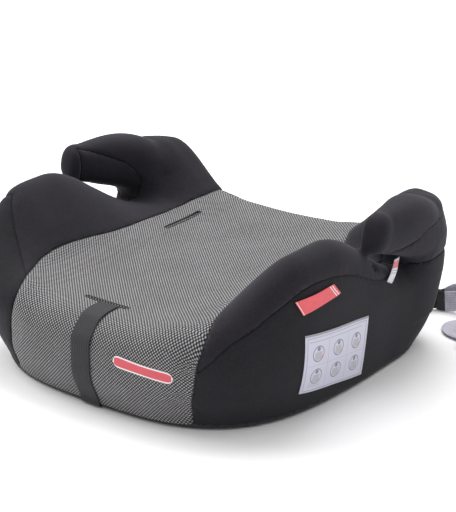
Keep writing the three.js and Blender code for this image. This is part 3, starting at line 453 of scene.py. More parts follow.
# ---- materials
def feed(n, key, value):
    """Sets a node's input to a number or a colour, or links it to another node's output."""
    if isinstance(value, bpy.types.NodeSocket):
        n.id_data.links.new(value, n.inputs[key])
    else:
        n.inputs[key].default_value = (*value, 1) if isinstance(value, tuple) else value


def node(tree, kind, inputs=None, **settings):
    n = tree.nodes.new("ShaderNode" + kind)
    for key, value in settings.items():
        setattr(n, key, value)
    for key, value in (inputs or {}).items():
        feed(n, key, value)
    return n


def material(name, settings):
    """A new material, its node tree and its shader, which has these settings."""
    m = bpy.data.materials.new(name)
    m.use_nodes = True
    bsdf = m.node_tree.nodes["Principled BSDF"]
    for key, value in settings.items():
        feed(bsdf, key, value)
    return m, m.node_tree, bsdf


def object_place(tree):
    return node(tree, "TexCoord").outputs["Object"]


def pattern(tree):
    """The piece's own flat layout, from put_uv."""
    return node(tree, "UVMap", uv_map="pattern").outputs[0]


def noise(tree, at, scale, detail, **more):
    return node(tree, "TexNoise", {"Vector": at, "Scale": scale, "Detail": detail, **more}).outputs["Fac"]


def pores(tree, at, scale):
    return node(tree, "TexVoronoi", {"Vector": at, "Scale": scale}).outputs["Distance"]


def split_xyz(tree, vector):
    return node(tree, "SeparateXYZ", {0: vector}).outputs


def maths(tree, operation, a, b=None, c=None, clamp=False):
    """One arithmetic node. Each operand is a number or another node's output."""
    operands = {i: value for i, value in enumerate((a, b, c)) if value is not None}
    return node(tree, "Math", operands, operation=operation, use_clamp=clamp).outputs[0]


def ramp(tree, value, stops):
    """Colours at positions along a value."""
    n = node(tree, "ValToRGB", {0: value})
    ends = n.color_ramp.elements
    ends[0].position, ends[0].color = stops[0][0], (*stops[0][1], 1)
    ends[1].position, ends[1].color = stops[-1][0], (*stops[-1][1], 1)
    for at, colour in stops[1:-1]:
        ends.new(at).color = (*colour, 1)
    return n.outputs[0]


def mixed(tree, factor, a, b, blend):
    n = node(tree, "Mix", data_type="RGBA", blend_type=blend)
    for key, value in ((0, factor), (6, a), (7, b)):
        feed(n, key, value)
    return n.outputs[2]


def times(tree, a, b):
    return mixed(tree, 1.0, a, b, "MULTIPLY")


def grey_wear(tree, value, low, high):
    """Slow change between two shades of grey, to multiply a colour by."""
    return ramp(tree, value, [(0.3, (low, low, low)), (0.7, (high, high, high))])


def painted_seam_shade(tree, colour, stops):
    """The colour darkened along the seams: painted shade in the seam grooves."""
    seam = node(tree, "Attribute", attribute_name="seam").outputs["Fac"]
    return times(tree, colour, ramp(tree, seam, stops))


def bump(bsdf, height, distance, strength, before=None):
    """Relief on a shader, laid over an earlier bump where there is one."""
    n = node(bsdf.id_data, "Bump", {"Strength": strength, "Distance": distance, "Height": height})
    if before is not None:
        feed(n, "Normal", before.outputs[0])
    feed(bsdf, "Normal", n.outputs[0])
    return n


def knit(name, dark, light, sheen):
    """Fine circular knit laminated to foam: tiny stitches, a soft sheen, painted shade along the seams."""
    m, tree, bsdf = material(name, {"Roughness": 0.86, "Specular IOR Level": 0.25, "Sheen Weight": sheen,
                                    "Sheen Roughness": 0.45, "Sheen Tint": (0.72, 0.7, 0.8)})
    place = object_place(tree)
    cells = pores(tree, place, 900.0)
    fine = noise(tree, place, 420.0, 3.0, Roughness=0.7)
    broad = maths(tree, "MULTIPLY", noise(tree, place, 16.0, 4.0, Roughness=0.6), 0.45)
    colour = ramp(tree, maths(tree, "MULTIPLY_ADD", fine, 0.55, broad), [(0.36, dark), (0.66, light)])
    pits = ramp(tree, cells, [(0.05, (1.12, 1.12, 1.12)), (0.75, (0.72, 0.72, 0.74))])
    # painted shade in the seam grooves: how dark the colour gets with the distance from a seam
    line = [(0.0, (0.16, 0.16, 0.17)), (0.055, (0.3, 0.3, 0.31)), (0.13, (1, 1, 1))]
    feed(bsdf, "Base Color", painted_seam_shade(tree, times(tree, colour, pits), line))
    first = bump(bsdf, maths(tree, "MULTIPLY_ADD", cells, -0.6, fine), 0.00025, 0.5)
    bump(bsdf, noise(tree, place, 60.0, 2.0), 0.0006, 0.35, first)
    return m


def spacer_mesh(name):
    """Open diamond mesh in light grey over a dark backing, laid out on the panel's own flat pattern."""
    m, tree, bsdf = material(name, {"Roughness": 0.7, "Specular IOR Level": 0.3, "Sheen Weight": 0.12})
    uv = pattern(tree)
    turn = 2 * math.pi / MESH_PITCH
    cu, cv = [maths(tree, "COSINE", maths(tree, "MULTIPLY", run, turn)) for run in split_xyz(tree, uv)[:2]]
    wander = maths(tree, "MULTIPLY_ADD", noise(tree, uv, 320.0, 2.0), 0.5, -0.25)
    weave = maths(tree, "ADD", maths(tree, "MULTIPLY", cu, cv), wander)
    thread = ramp(tree, maths(tree, "MULTIPLY_ADD", weave, 0.5, 0.5),
                  [(0.36, (0.012, 0.012, 0.0135)), (0.5, (0.035, 0.034, 0.036)),
                   (0.64, (0.27, 0.262, 0.27)), (0.88, (0.4, 0.39, 0.4))])
    colour = times(tree, thread, grey_wear(tree, noise(tree, uv, 22.0, 3.0), 0.88, 1.05))
    # painted shade in the seam grooves: how dark the colour gets with the distance from a seam
    line = [(0.0, (0.14, 0.14, 0.15)), (0.06, (0.3, 0.3, 0.3)), (0.14, (1, 1, 1))]
    feed(bsdf, "Base Color", painted_seam_shade(tree, colour, line))
    bump(bsdf, weave, 0.0005, 0.7)
    return m


def webbing(name, dark, light, rib=WEB_RIB):
    """Woven polyester tape: cross ribs and a little lengthwise grain, on the tape's own layout."""
    m, tree, bsdf = material(name, {"Roughness": 0.62, "Sheen Weight": 0.06})
    uv = pattern(tree)
    across, run = split_xyz(tree, uv)[:2]
    ribs = maths(tree, "SINE", maths(tree, "MULTIPLY", run, 2 * math.pi / rib))
    warp = maths(tree, "SINE", maths(tree, "MULTIPLY", across, 2 * math.pi / WEB_WARP))
    weave = maths(tree, "MULTIPLY_ADD", ribs, 0.6, maths(tree, "MULTIPLY", warp, 0.4))
    colour = ramp(tree, maths(tree, "MULTIPLY_ADD", weave, 0.35, 0.5), [(0.2, dark), (0.85, light)])
    wear = grey_wear(tree, noise(tree, uv, 90.0, 3.0), 0.84, 1.08)
    feed(bsdf, "Base Color", times(tree, colour, wear))
    bump(bsdf, weave, 0.0003, 0.8)
    return m


def moulded(name, colour, roughness, grain=420.0, depth=0.00012, coat=0.0):
    """Injection-moulded plastic or rubber with a fine spark-eroded grain and slight handling marks."""
    m, tree, bsdf = material(name, {"Coat Weight": coat})
    place = object_place(tree)
    broad = noise(tree, place, 35.0, 3.0)
    low, high = tuple(c * 0.85 for c in colour), tuple(min(c * 1.15, 1) for c in colour)
    feed(bsdf, "Base Color", ramp(tree, broad, [(0.35, low), (0.68, high)]))
    feed(bsdf, "Roughness", maths(tree, "MULTIPLY_ADD", broad, 0.2, roughness - 0.1))
    bump(bsdf, noise(tree, place, grain, 4.0), depth, 0.6)
    return m


def plated(name):
    """Zinc-plated steel with faint scratches."""
    m, tree, bsdf = material(name, {"Metallic": 1.0})
    scratch = noise(tree, object_place(tree), 260.0, 4.0, Distortion=0.6)
    feed(bsdf, "Base Color", ramp(tree, scratch, [(0.3, (0.42, 0.43, 0.45)), (0.75, (0.62, 0.63, 0.65))]))
    feed(bsdf, "Roughness", maths(tree, "MULTIPLY_ADD", scratch, 0.25, 0.22))
    bump(bsdf, scratch, 0.0001, 0.4)
    return m


def open_foam(name):
    """Cut foam with open cells."""
    m, tree, bsdf = material(name, {"Roughness": 0.95})
    cells = pores(tree, object_place(tree), 500.0)
    feed(bsdf, "Base Color", ramp(tree, cells, [(0.1, (0.45, 0.42, 0.35)), (0.6, (0.72, 0.69, 0.6))]))
    bump(bsdf, cells, 0.0008, 0.8)
    return m


KNIT_TOP = knit("knit_top", (0.0118, 0.0104, 0.0148), (0.022, 0.0194, 0.027), 0.12)
KNIT_SIDE = knit("knit_side", (0.0095, 0.009, 0.0115), (0.018, 0.017, 0.0215), 0.1)
MESH_FABRIC = spacer_mesh("spacer_mesh")
DARK_WEB = webbing("dark_webbing", (0.0025, 0.0022, 0.0035), (0.015, 0.0137, 0.0195))
BLACK_WEB = webbing("black_webbing", (0.006, 0.006, 0.007), (0.02, 0.0195, 0.022))
PALE_WEB = webbing("pale_webbing", (0.33, 0.315, 0.38), (0.62, 0.6, 0.69))
EDGE_TAPE = webbing("edge_tape", (0.009, 0.0085, 0.01), (0.026, 0.025, 0.028), 0.0024)
SHELL = moulded("shell_plastic", (0.022, 0.022, 0.024), 0.5)
RUBBER = moulded("foot_rubber", (0.018, 0.018, 0.019), 0.8, 300.0, 0.0002)
CLIP_RED = moulded("clip_plastic", (0.5, 0.035, 0.04), 0.35, 380.0, 0.00008, 0.15)
KEEPER = moulded("keeper_plastic", (0.03, 0.03, 0.033), 0.4)
PLATED = plated("zinc_plate")
FOAM = open_foam("open_foam")


# ---- making objects
def linked(name, data):
    """A new object in the scene with this data."""
    obj = bpy.data.objects.new(name, data)
    bpy.context.scene.collection.objects.link(obj)
    return obj


def aimed(name, data, at, direction):
    """A new camera or light at a place, looking along a direction."""
    obj = linked(name, data)
    obj.location = at
    obj.rotation_mode = "QUATERNION"
    obj.rotation_quaternion = direction.to_track_quat("-Z", "Y")
    return obj


def new_object(name, points, faces, mat, smooth=True):
    mesh = bpy.data.meshes.new(name)
    mesh.from_pydata([tuple(p) for p in np.asarray(points) * MM], [],
                     [tuple(int(i) for i in f) for f in faces])
    mesh.update()
    mesh.materials.append(mat)
    if smooth:
        mesh.polygons.foreach_set("use_smooth", [True] * len(mesh.polygons))
    return linked(name, mesh)


def put_uv(obj, uv):
    """One UV pair, in metres, for each point of the mesh."""
    layer = obj.data.uv_layers.new(name="pattern")
    corners = np.empty(len(obj.data.loops), int)
    obj.data.loops.foreach_get("vertex_index", corners)
    layer.data.foreach_set("uv", np.asarray(uv, np.float32)[corners].ravel())


def edit_mesh(obj, edit):
    bm = bmesh.new()
    bm.from_mesh(obj.data)
    edit(bm)
    bm.to_mesh(obj.data)
    bm.free()


def modify(obj, kind, **settings):
    m = obj.modifiers.new(kind.lower(), kind)
    for key, value in settings.items():
        setattr(m, key, value)
    return m


def finish_piece(obj, slot, *replaced, body="seat"):
    """Ties a piece to its body and hides the CAD nodes it stands for. The slot is not used."""
    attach(obj, body)
    if replaced:
        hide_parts(*replaced)
    return obj


def grid_faces(across, up):
    """Quads between rows of `across` + 1 points."""
    starts = [j * (across + 1) + i for j in range(up) for i in range(across)]
    return [(a, a + 1, a + across + 2, a + across + 1) for a in starts]


def tape(name, centres, across, through, width, thick, mat, closed=False):
    """Flat webbing along a line of centres, with a soft rounded section and its own flat layout in UV."""
    w, t = width / 2, thick / 2
    full = t * (1 + TAPE_BULGE)
    half = [(-w, 0), (-w + 0.35, -t * 0.8), (-w + 1.1, -t), (-w * 0.5, -full), (0, -full), (w * 0.5, -full),
            (w - 1.1, -t), (w - 0.35, -t * 0.8)]
    section = half + [(-s, -r) for s, r in half]
    n, count = SECTION_POINTS, len(centres)
    points = [c + a * s + b * r for c, a, b in zip(centres, across, through) for s, r in section]
    uv = [((s + w) * MM, r * MM) for r in run_along(centres) for s, _ in section]
    faces = []
    for i in range(count if closed else count - 1):
        j = (i + 1) % count
        for k in range(n):
            m = (k + 1) % n
            faces.append((i * n + k, i * n + m, j * n + m, j * n + k))
    if not closed:
        faces.append(tuple(reversed(range(n))))
        faces.append(tuple((count - 1) * n + k for k in range(n)))
    obj = new_object(name, points, faces, mat)
    put_uv(obj, uv)
    edit_mesh(obj, lambda bm: bmesh.ops.recalc_face_normals(bm, faces=bm.faces))
    return obj


# ---- camera
def make_camera():
    """The photo's camera, as fitted to the picture."""
    target, away = Vector((-0.1407, 0.2479, 0)), 1.868
    azimuth, elevation = math.radians(36.491), math.radians(20.737)
    level = math.cos(elevation)
    back = Vector((math.sin(azimuth) * level, -math.cos(azimuth) * level, math.sin(elevation)))
    data = bpy.data.cameras.new("photo_camera")
    data.sensor_width, data.lens = 36, 36 * FOCAL_PIXELS / PHOTO_PIXELS
    data.clip_start, data.clip_end = 0.05, 50
    bpy.context.scene.camera = aimed("photo_camera", data, target + back * away, -back)


make_camera()

# ---- the cover: one skin cut into panels
skin, quads = skin_mesh(SKIN_STEP)
skin = spread(skin, quads, 3)
hem_side = lambda p: HEM_Z - p[:, 2]
CUTS = [("rear", rear_side), ("seat", seat_side), ("under_right", under_side(1)),
        ("under_left", under_side(-1)), ("side_right", side_side(1)), ("side_left", side_side(-1))]
skin = snap(skin, hem_side, SKIN_STEP, False)
for _, signed in CUTS:
    skin = snap(skin, signed, SKIN_STEP)
across_a, across_b = [np.linalg.norm(skin[quads[:, k]] - skin[quads[:, k + 2]], axis=1) for k in (0, 1)]
diagonal = across_a < across_b
triangles = np.vstack([quads[diagonal][:, [0, 1, 2]], quads[diagonal][:, [0, 2, 3]],
                       quads[~diagonal][:, [0, 1, 3]], quads[~diagonal][:, [1, 2, 3]]])
skin, triangles, _ = cut(skin, triangles, hem_side)
panels = {}
for name, signed in CUTS:
    skin, panels[name], triangles = cut(skin, triangles, signed)
skin, panels["top_right"], panels["top_left"] = cut(skin, triangles, lambda p: -p[:, 0])
normals = unit(gradient(form_at, skin))

seam_ids = np.unique(np.concatenate([edge_points(t) for t in panels.values()]))
seam_ids = seam_ids[skin[seam_ids, 2] > HEM_Z + 0.3]
seam_points = kdtree.KDTree(len(seam_ids))
for i, k in enumerate(seam_ids):
    seam_points.insert(Vector(skin[k]), i)
seam_points.balance()
seam_distance = np.array([seam_points.find(Vector(p))[2] for p in skin])


def profile_run(p):
    """How far each point lies along the seat's middle section, from the front hem to the rear."""
    line = [settle([(0, -166, z)])[0] for z in range(4, 92, 4)]
    line += [settle([(0, y, 101)])[0] for y in range(-162, 180, 6)]
    line = np.array(line)
    line = np.vstack([line, [settle([(0, 186, z)])[0] for z in range(92, 4, -6)]])
    line = line[np.concatenate([[True], step_lengths(line) > 0.8])]
    run = run_along(line)
    best, out = np.full(len(p), 1e9), np.zeros(len(p))
    drop = np.where(np.abs(p[:, 1]) < 150, top_height(p[:, 0], p[:, 1]) - top_height(0, p[:, 1]), 0)
    flat = np.stack([p[:, 1], p[:, 2] - drop], axis=1)
    for (a, b), ra, rb in zip(zip(line[:-1, 1:], line[1:, 1:]), run[:-1], run[1:]):
        d = b - a
        t = np.clip(((flat - a) @ d) / (d @ d), 0, 1)
        gap = np.linalg.norm(flat - a - t[:, None] * d, axis=1)
        near = gap < best
        best = np.where(near, gap, best)
        out = np.where(near, ra + (rb - ra) * t, out)
    return out


def ripple(p):
    """Small fixed waves in the fabric, in millimetres."""
    x, y, z = p.T
    first = np.sin(x * 0.61 + 1.3 * np.sin(y * 0.17) + z * 0.29)
    return (first + np.sin(y * 0.53 + 1.1 * np.sin(z * 0.23) - x * 0.11)) * 0.5


groove = SEAM_DEPTH * np.clip(1 - seam_distance / SEAM_REACH, 0, 1) ** 2
puff = PUFF * step(0, PUFF_REACH, seam_distance)
gather = GATHER * np.clip(1 - seam_distance / GATHER_REACH, 0, 1) * step(0.5, 4, seam_distance)
skin = skin + normals * (puff - groove + gather * ripple(skin))[:, None]


def stretch(p, faces, outward, share, rounds):
    """Fabric pulled over a hollow bridges it: points only move outward, where the cloth is concave."""
    pairs = np.vstack([faces[:, [0, 1]], faces[:, [1, 2]], faces[:, [2, 0]]])
    ends = np.vstack([pairs, pairs[:, ::-1]])
    ends = ends[share[ends[:, 0]] > 0]
    count = np.maximum(np.bincount(ends[:, 0], minlength=len(p)), 1)
    for _ in range(rounds):
        total = [np.bincount(ends[:, 0], p[ends[:, 1], i], len(p)) for i in range(3)]
        mean = np.stack([t / count for t in total], axis=1)
        lift = np.maximum(((mean - p) * outward).sum(axis=1), 0) * share
        p = p + outward * lift[:, None]
    return p


hollow = step(138, 156, skin[:, 2]) * step(84, 112, skin[:, 1]) * step(108, 132, np.abs(skin[:, 0]))
skin = stretch(skin, np.vstack(list(panels.values())), normals, hollow, BRIDGE_ROUNDS)


PANEL_OF = {
    "seat": ("seat_mesh_panel", MESH_FABRIC, "seat_mesh_fabric", ["cover_seat_panel"]),
    "rear": ("rear_panel", KNIT_SIDE, "side_knit_fabric", ["cover_rear_panel"]),
}
for zone, panel, mat, slot, replaced in (
        ("side", "side_panel", KNIT_SIDE, "side_knit_fabric", ["cover_side"]),
        ("top", "bolster_panel", KNIT_TOP, "top_knit_fabric", ["cover_bolster", "cover_armrest_top"]),
        ("under", "armrest_under_panel", KNIT_TOP, "side_knit_fabric", ["cover_armrest_under"])):
    for side in ("_right", "_left"):
        PANEL_OF[zone + side] = (panel + side, mat, slot, [n + side for n in replaced])
SLITS = [slot_side(-4, SLIT_Y, 27, 1.6), slot_side(87, 87, 1.5, 32), slot_side(-87, 87, 1.5, 32)]
for key, (name, mat, slot, replaced) in PANEL_OF.items():
    points, faces = compact(skin, panels[key])
    distance = seam_distance[np.unique(panels[key])]
    if key == "seat":
        for signed in SLITS:
            count = len(points)
            points, faces, _ = cut(points, faces, signed)
            distance = np.concatenate([distance, np.full(len(points) - count, SEAM_SHADE)])
        used = np.unique(faces)
        points, faces = compact(points, faces)
        distance = distance[used]
    piece = new_object(name, points, faces, mat)
    # the seam attribute: distance from the nearest seam over SEAM_SHADE, the mask for the painted seam
    # shade
    seam = piece.data.attributes.new("seam", "FLOAT", "POINT").data
    seam.foreach_set("value", np.clip(distance / SEAM_SHADE, 0, 1).astype(np.float32))
    if key == "seat":
        put_uv(piece, np.stack([points[:, 0], profile_run(points)], axis=1) * MM)
    modify(piece, "SOLIDIFY", thickness=CLOTH * MM, offset=-1, use_rim=True)
    finish_piece(piece, slot, *replaced)

# ---- hem tape round the lower edge
angles = np.linspace(0, 2 * np.pi, 220, endpoint=False)
angles = angles + 0.11 * np.sin(4 * angles)
outward = np.stack([np.cos(angles), np.sin(angles), np.zeros(len(angles))], axis=1)
rim = [0, PLAN_CENTRE, 4.8] + 150 * outward
for _ in range(30):
    rim = rim - outward * (form_at(rim) + 0.4)[:, None] * 0.8
facing = unit(gradient(form_at, rim) * [1, 1, 0])
hem = tape("hem_tape", rim + facing * 0.2, np.tile([0, 0, 1.0], (len(rim), 1)), facing, 4.6, 1.5,
           EDGE_TAPE, closed=True)
finish_piece(hem, "edge_binding", "hem_binding")

# ---- front strap
def front_line():
    """Middle line of the front strap: out of the slit, down the front, under the rim and up to its bar."""
    over = [settle([(STRAP_X, y, 104)], STRAP_LIFT)[0] for y in (-149, -156, -163, -169, -174, -178)]
    down = []
    for z in (80, 73, 65, 55, 44, 32, 20, 10):
        p = np.array([[STRAP_X, -184.0, z]])
        for _ in range(20):
            p[:, 1] += (form_at(p) - STRAP_LIFT) * 0.8
        down.append(p[0])
    tail = down[-1][1]
    out_of_slit = [(SLIT_Y + 0.6, 88), (SLIT_Y - 0.3, 97)]
    under_rim = [(tail + 1.2, 3.6), (tail + 5, 1.9), (-150, 1.9), (-137, 2.4), (-128.6, 8), (-127.2, 26)]
    first, last = [[(STRAP_X, y, z) for y, z in bend] for bend in (out_of_slit, under_rim)]
    return first + over + down + last


line = curve_through(front_line(), 2.5)
going = unit(np.gradient(line, axis=0))
side = np.tile([1.0, 0, 0], (len(line), 1))
through = unit(np.cross(going, side))
front_strap = tape("front_strap_webbing", line, side, through, STRAP_WIDTH, 1.7, DARK_WEB)
finish_piece(front_strap, "dark_webbing", "front_strap")


# ---- stitched edgings round the slits
def slit_ring(x0, y0, half_x, half_y, lift):
    """Points round a slit, laid on the form."""
    turn = np.linspace(0, 2 * np.pi, 96, endpoint=False)
    x = x0 + half_x * np.sign(np.cos(turn)) * np.abs(np.cos(turn)) ** 0.35
    y = y0 + half_y * np.sign(np.sin(turn)) * np.abs(np.sin(turn)) ** 0.35
    return settle(np.stack([x, y, np.full(96, 104.0)], axis=1), lift)


def overlock(name, x0, y0, half_x, half_y, replaced):
    """Close zigzag stitches over the edge of a slit, as one thread."""
    ring = slit_ring(x0, y0, half_x, half_y, 1.2)
    ring = np.vstack([ring, ring[:1]])
    run = run_along(ring)
    count = int(run[-1] / 0.9)
    spots = resampled(np.linspace(0, run[-1], count, endpoint=False), run, ring)
    normal = unit(gradient(form_at, spots))
    ahead = unit(np.roll(spots, -1, axis=0) - np.roll(spots, 1, axis=0))
    out = unit(np.cross(ahead, normal))
    even = (np.arange(count) % 2 == 0)[:, None]
    spots = spots + out * np.where(even, 1.5, -0.2) + normal * np.where(even, 0.1, 0.35)
    data = bpy.data.curves.new(name, "CURVE")
    data.dimensions, data.bevel_depth, data.bevel_resolution = "3D", 0.00042, 1
    spline = data.splines.new("POLY")
    spline.points.add(count - 1)
    spline.use_cyclic_u = True
    for point, spot in zip(spline.points, spots * MM):
        point.co = (*spot, 1)
    data.materials.append(EDGE_TAPE)
    finish_piece(linked(name, data), "edge_binding", *replaced)


overlock("front_slit_stitches", -4, SLIT_Y, 27.6, 1.9, [])
overlock("side_slit_stitches_right", 87, 87, 1.7, 32.6, ["slit_edging_right"])
overlock("side_slit_stitches_left", -87, 87, 1.7, 32.6, ["slit_edging_left"])


# ---- tags and labels
def patch(name, corners, across, up, lift, thick, mat, rounded=0.0):
    """A thin sheet between four corners, laid on the form, with UV from 0 to 1."""
    c = np.array(corners, float)
    u, v = np.meshgrid(np.linspace(0, 1, across + 1), np.linspace(0, 1, up + 1))
    u, v = u.ravel()[:, None], v.ravel()[:, None]
    end = np.clip((np.abs(2 * u - 1) - 1 + rounded) / max(rounded, 1e-6), 0, 1) * (rounded > 0)
    w = 0.5 + (v - 0.5) * np.sqrt(np.maximum(1 - 0.97 * end**2, 0))
    flat = (c[0] * (1 - u) + c[1] * u) * (1 - w) + (c[3] * (1 - u) + c[2] * u) * w
    flat = settle(flat, lift, 10)
    normal = unit(gradient(form_at, flat))
    wave = 0.25 * np.sin(u[:, 0] * 9 + v[:, 0] * 4)
    flat = flat + normal * wave[:, None]
    obj = new_object(name, flat, grid_faces(across, up), mat)
    put_uv(obj, np.hstack([u, v]))

    def face_outward(bm):
        bm.normal_update()
        if sum((f.normal for f in bm.faces), Vector()).dot(Vector(normal.mean(0))) < 0:
            bmesh.ops.reverse_faces(bm, faces=bm.faces[:])

    edit_mesh(obj, face_outward)
    modify(obj, "SOLIDIFY", thickness=thick * MM, offset=1, use_rim=True)
    modify(obj, "BEVEL", width=0.2 * MM, segments=2, limit_method="ANGLE")
    return obj


def rectangle(tree, u, v, x0, x1, y0, y1):
    """1 inside a rectangle of the UV square."""
    least = [maths(tree, "MINIMUM", maths(tree, "SUBTRACT", at, lo), maths(tree, "SUBTRACT", hi, at))
             for at, lo, hi in ((u, x0, x1), (v, y0, y1))]
    return maths(tree, "MULTIPLY_ADD", maths(tree, "MINIMUM", *least), 1 / 0.004, 0.5, clamp=True)


def disc(tree, u, v, aspect, x, y, r, half_line=None):
    """1 inside a circle, or on a circular line where it has a half width."""
    du = maths(tree, "MULTIPLY", maths(tree, "SUBTRACT", u, x), aspect)
    dv = maths(tree, "SUBTRACT", v, y)
    squares = [maths(tree, "MULTIPLY", d, d) for d in (du, dv)]
    far = maths(tree, "SQRT", maths(tree, "ADD", *squares))
    if half_line:
        far, r = maths(tree, "ABSOLUTE", maths(tree, "SUBTRACT", far, r)), half_line
    return maths(tree, "MULTIPLY_ADD", maths(tree, "SUBTRACT", r, far), 200.0, 0.5, clamp=True)


def printed(name, ground, shapes, aspect, roughness=0.45, weave=True):
    """A printed or woven label. Its shapes are a colour and numbers: 4 for a rectangle's sides in a
    list, 3 or 4 for a disc or a ring in a tuple, drawn in order."""
    m, tree, bsdf = material(name, {"Roughness": roughness})
    uv = pattern(tree)
    u, v = split_xyz(tree, uv)[:2]
    low = tuple(c * 0.93 for c in ground)
    colour = ramp(tree, noise(tree, uv, 7.0, 3.0), [(0.35, low), (0.65, ground)])
    for numbers, paint in shapes:
        if isinstance(numbers, list):
            mask = rectangle(tree, u, v, *numbers)
        else:
            mask = disc(tree, u, v, aspect, *numbers)
        colour = mixed(tree, mask, colour, paint, "MIX")
    feed(bsdf, "Base Color", colour)
    waves = {"Vector": uv, "Scale": 60.0 if weave else 6.0, "Distortion": 0.4, "Detail": 1.0}
    bump(bsdf, node(tree, "TexWave", waves).outputs["Fac"], 0.00012 if weave else 0.00008, 0.5)
    return m


GREY, LINE, PALE_RED = (0.45, 0.45, 0.5), (0.2, 0.2, 0.24), (0.72, 0.24, 0.26)
PAPER, BORDER, STRIPE = (0.6, 0.59, 0.71), (0.3, 0.3, 0.34), (0.85, 0.8, 0.8)
RIM = (0.85, 0.82, 0.83)
pictures = [([0.0, 1.0, 0.965, 1.0], BORDER), ([0.03, 0.97, 0.03, 0.94], (0.34, 0.335, 0.42)),
            ([0.038, 0.962, 0.042, 0.928], PAPER), ([0.06, 0.9, 0.862, 0.88], GREY),
            ([0.34, 0.348, 0.08, 0.84], GREY), ([0.655, 0.663, 0.08, 0.84], GREY),
            ([0.05, 0.95, 0.47, 0.478], GREY)]
COLUMNS, ROWS = (0.19, 0.5, 0.81), (0.66, 0.28)
for row in ROWS:
    for col in COLUMNS:
        pictures += [((col, row + 0.08, 0.035), LINE),
                     ([col - 0.05, col + 0.05, row - 0.1, row + 0.03], GREY),
                     ((col, row, 0.125, 0.008), LINE)]
pictures += [((col + 0.06, ROWS[0] - 0.06, 0.022), PALE_RED) for col in COLUMNS]
for k in range(5):
    pictures.append(([0.09, 0.27 - 0.02 * (k % 2), 0.1 + 0.018 * k, 0.107 + 0.018 * k], GREY))
LABEL = printed("label_print", PAPER, pictures, 1.6, 0.35, False)
TAG = printed("tag_weave", (0.84, 0.12, 0.14),
              [([x0, x1, 0.0, 1.0], STRIPE) for x0, x1 in ((0.86, 0.885), (0.92, 0.945), (0.015, 0.03))],
              3.0, 0.55)
BADGE = printed("badge_print", (0.72, 0.09, 0.12),
                [([0.0, 1.0, 0.0, 0.13], RIM), ([0.0, 1.0, 0.87, 1.0], RIM),
                 ([0.0, 0.022, 0.0, 1.0], RIM), ([0.978, 1.0, 0.0, 1.0], RIM)], 6.0, 0.5)
CARE = printed("care_print", (0.8, 0.79, 0.85),
               [([0.0, 1.0, 0.62, 0.9], (0.72, 0.2, 0.22)), ([0.1, 0.9, 0.5, 0.54], GREY),
                ([0.1, 0.8, 0.4, 0.44], GREY)], 0.5, 0.5)

label = patch("instruction_print", [(190, -83, 30), (203, 20, 14), (207, 19, 83), (200, -89, 97)],
              24, 14, 1.6, 0.5, LABEL)
finish_piece(label, "label_film", "instruction_label")
tag = patch("woven_side_tag", [(199, -93, 120), (206, -38, 127), (206, -50, 140), (197, -103, 136)],
            18, 6, 1.8, 0.9, TAG)
finish_piece(tag, "red_tag_fabric", "side_tag")
badge = patch("front_pill_badge", [(45, -191, 61), (112, -182, 56), (113, -183, 68), (45, -191, 73)],
              44, 6, 1.4, 0.5, BADGE, 0.2)
finish_piece(badge, "red_tag_fabric", "front_badge")

low, high = np.array([205.4, 56, 107]), np.array([206.8, 68, 129])
tag_points, tag_uv = [], []
for t in np.linspace(0, 1, 13):
    start = low * (1 - t) + high * t + np.array([1.2 * math.sin(t * 3.1), 0, 0])
    width = np.array([0.4 * math.sin(t * 5), 10.5, -4.5 * (1 - t)])
    for s in np.linspace(0, 1, 5):
        tag_points.append(start + width * s)
        tag_uv.append((s, t))
care = new_object("folded_care_tag", tag_points, grid_faces(4, 12), CARE)
put_uv(care, tag_uv)
modify(care, "SOLIDIFY", thickness=0.6 * MM, offset=0)
finish_piece(care, "label_film", "care_tag")

# ---- rear strap
ANCHOR_ROUTE = [(120, 178.4, 21), (121, 192, 20), (127, 210, 17), (139, 230, 14.5), (151, 243, 13.8),
                (162, 251.6, 13.4)]
STRAP_ROUTE = [(164.2, 252.7, 13.4), (168, 254.2, 13.4), (175, 256.6, 16.5), (187, 258.5, 24),
               (203, 260, 22), (220, 263.4, 17), (231, 264, 16), (240, 263.2, 16), (250, 256, 14),
               (252, 246, 13.4), (243, 239, 13), (228, 236, 10), (213, 229, 6), (206, 218, 3.4),
               (208, 206, 3), (216, 198.4, 3), (226, 196, 3), (238.6, 196, 3)]
RETURN_ROUTE = [(163.8, 249.4, 13.4), (175, 250.6, 13.6), (190, 251.6, 17), (205, 254.6, 17),
                (219, 259.6, 14), (227, 260.7, 13.6)]


def standing(points, roll_from, roll_to):
    """Frames for webbing that stands on edge and lies down between two shares of its run."""
    points = points.copy()
    going = unit(np.gradient(points, axis=0))
    run = run_along(points)
    roll = (np.pi / 2) * step(roll_from, roll_to, run / run[-1])
    flat = unit(np.stack([-going[:, 1], going[:, 0], np.zeros(len(points))], axis=1))
    across = np.cos(roll)[:, None] * np.array([0, 0, 1.0]) + np.sin(roll)[:, None] * flat
    through = unit(np.cross(going, across))
    across = unit(np.cross(through, going))
    reach = STRAP_WIDTH / 2 * np.abs(across[:, 2]) + 0.9 * np.abs(through[:, 2])
    points[:, 2] = np.maximum(points[:, 2], reach + 0.5)
    return points, across, through


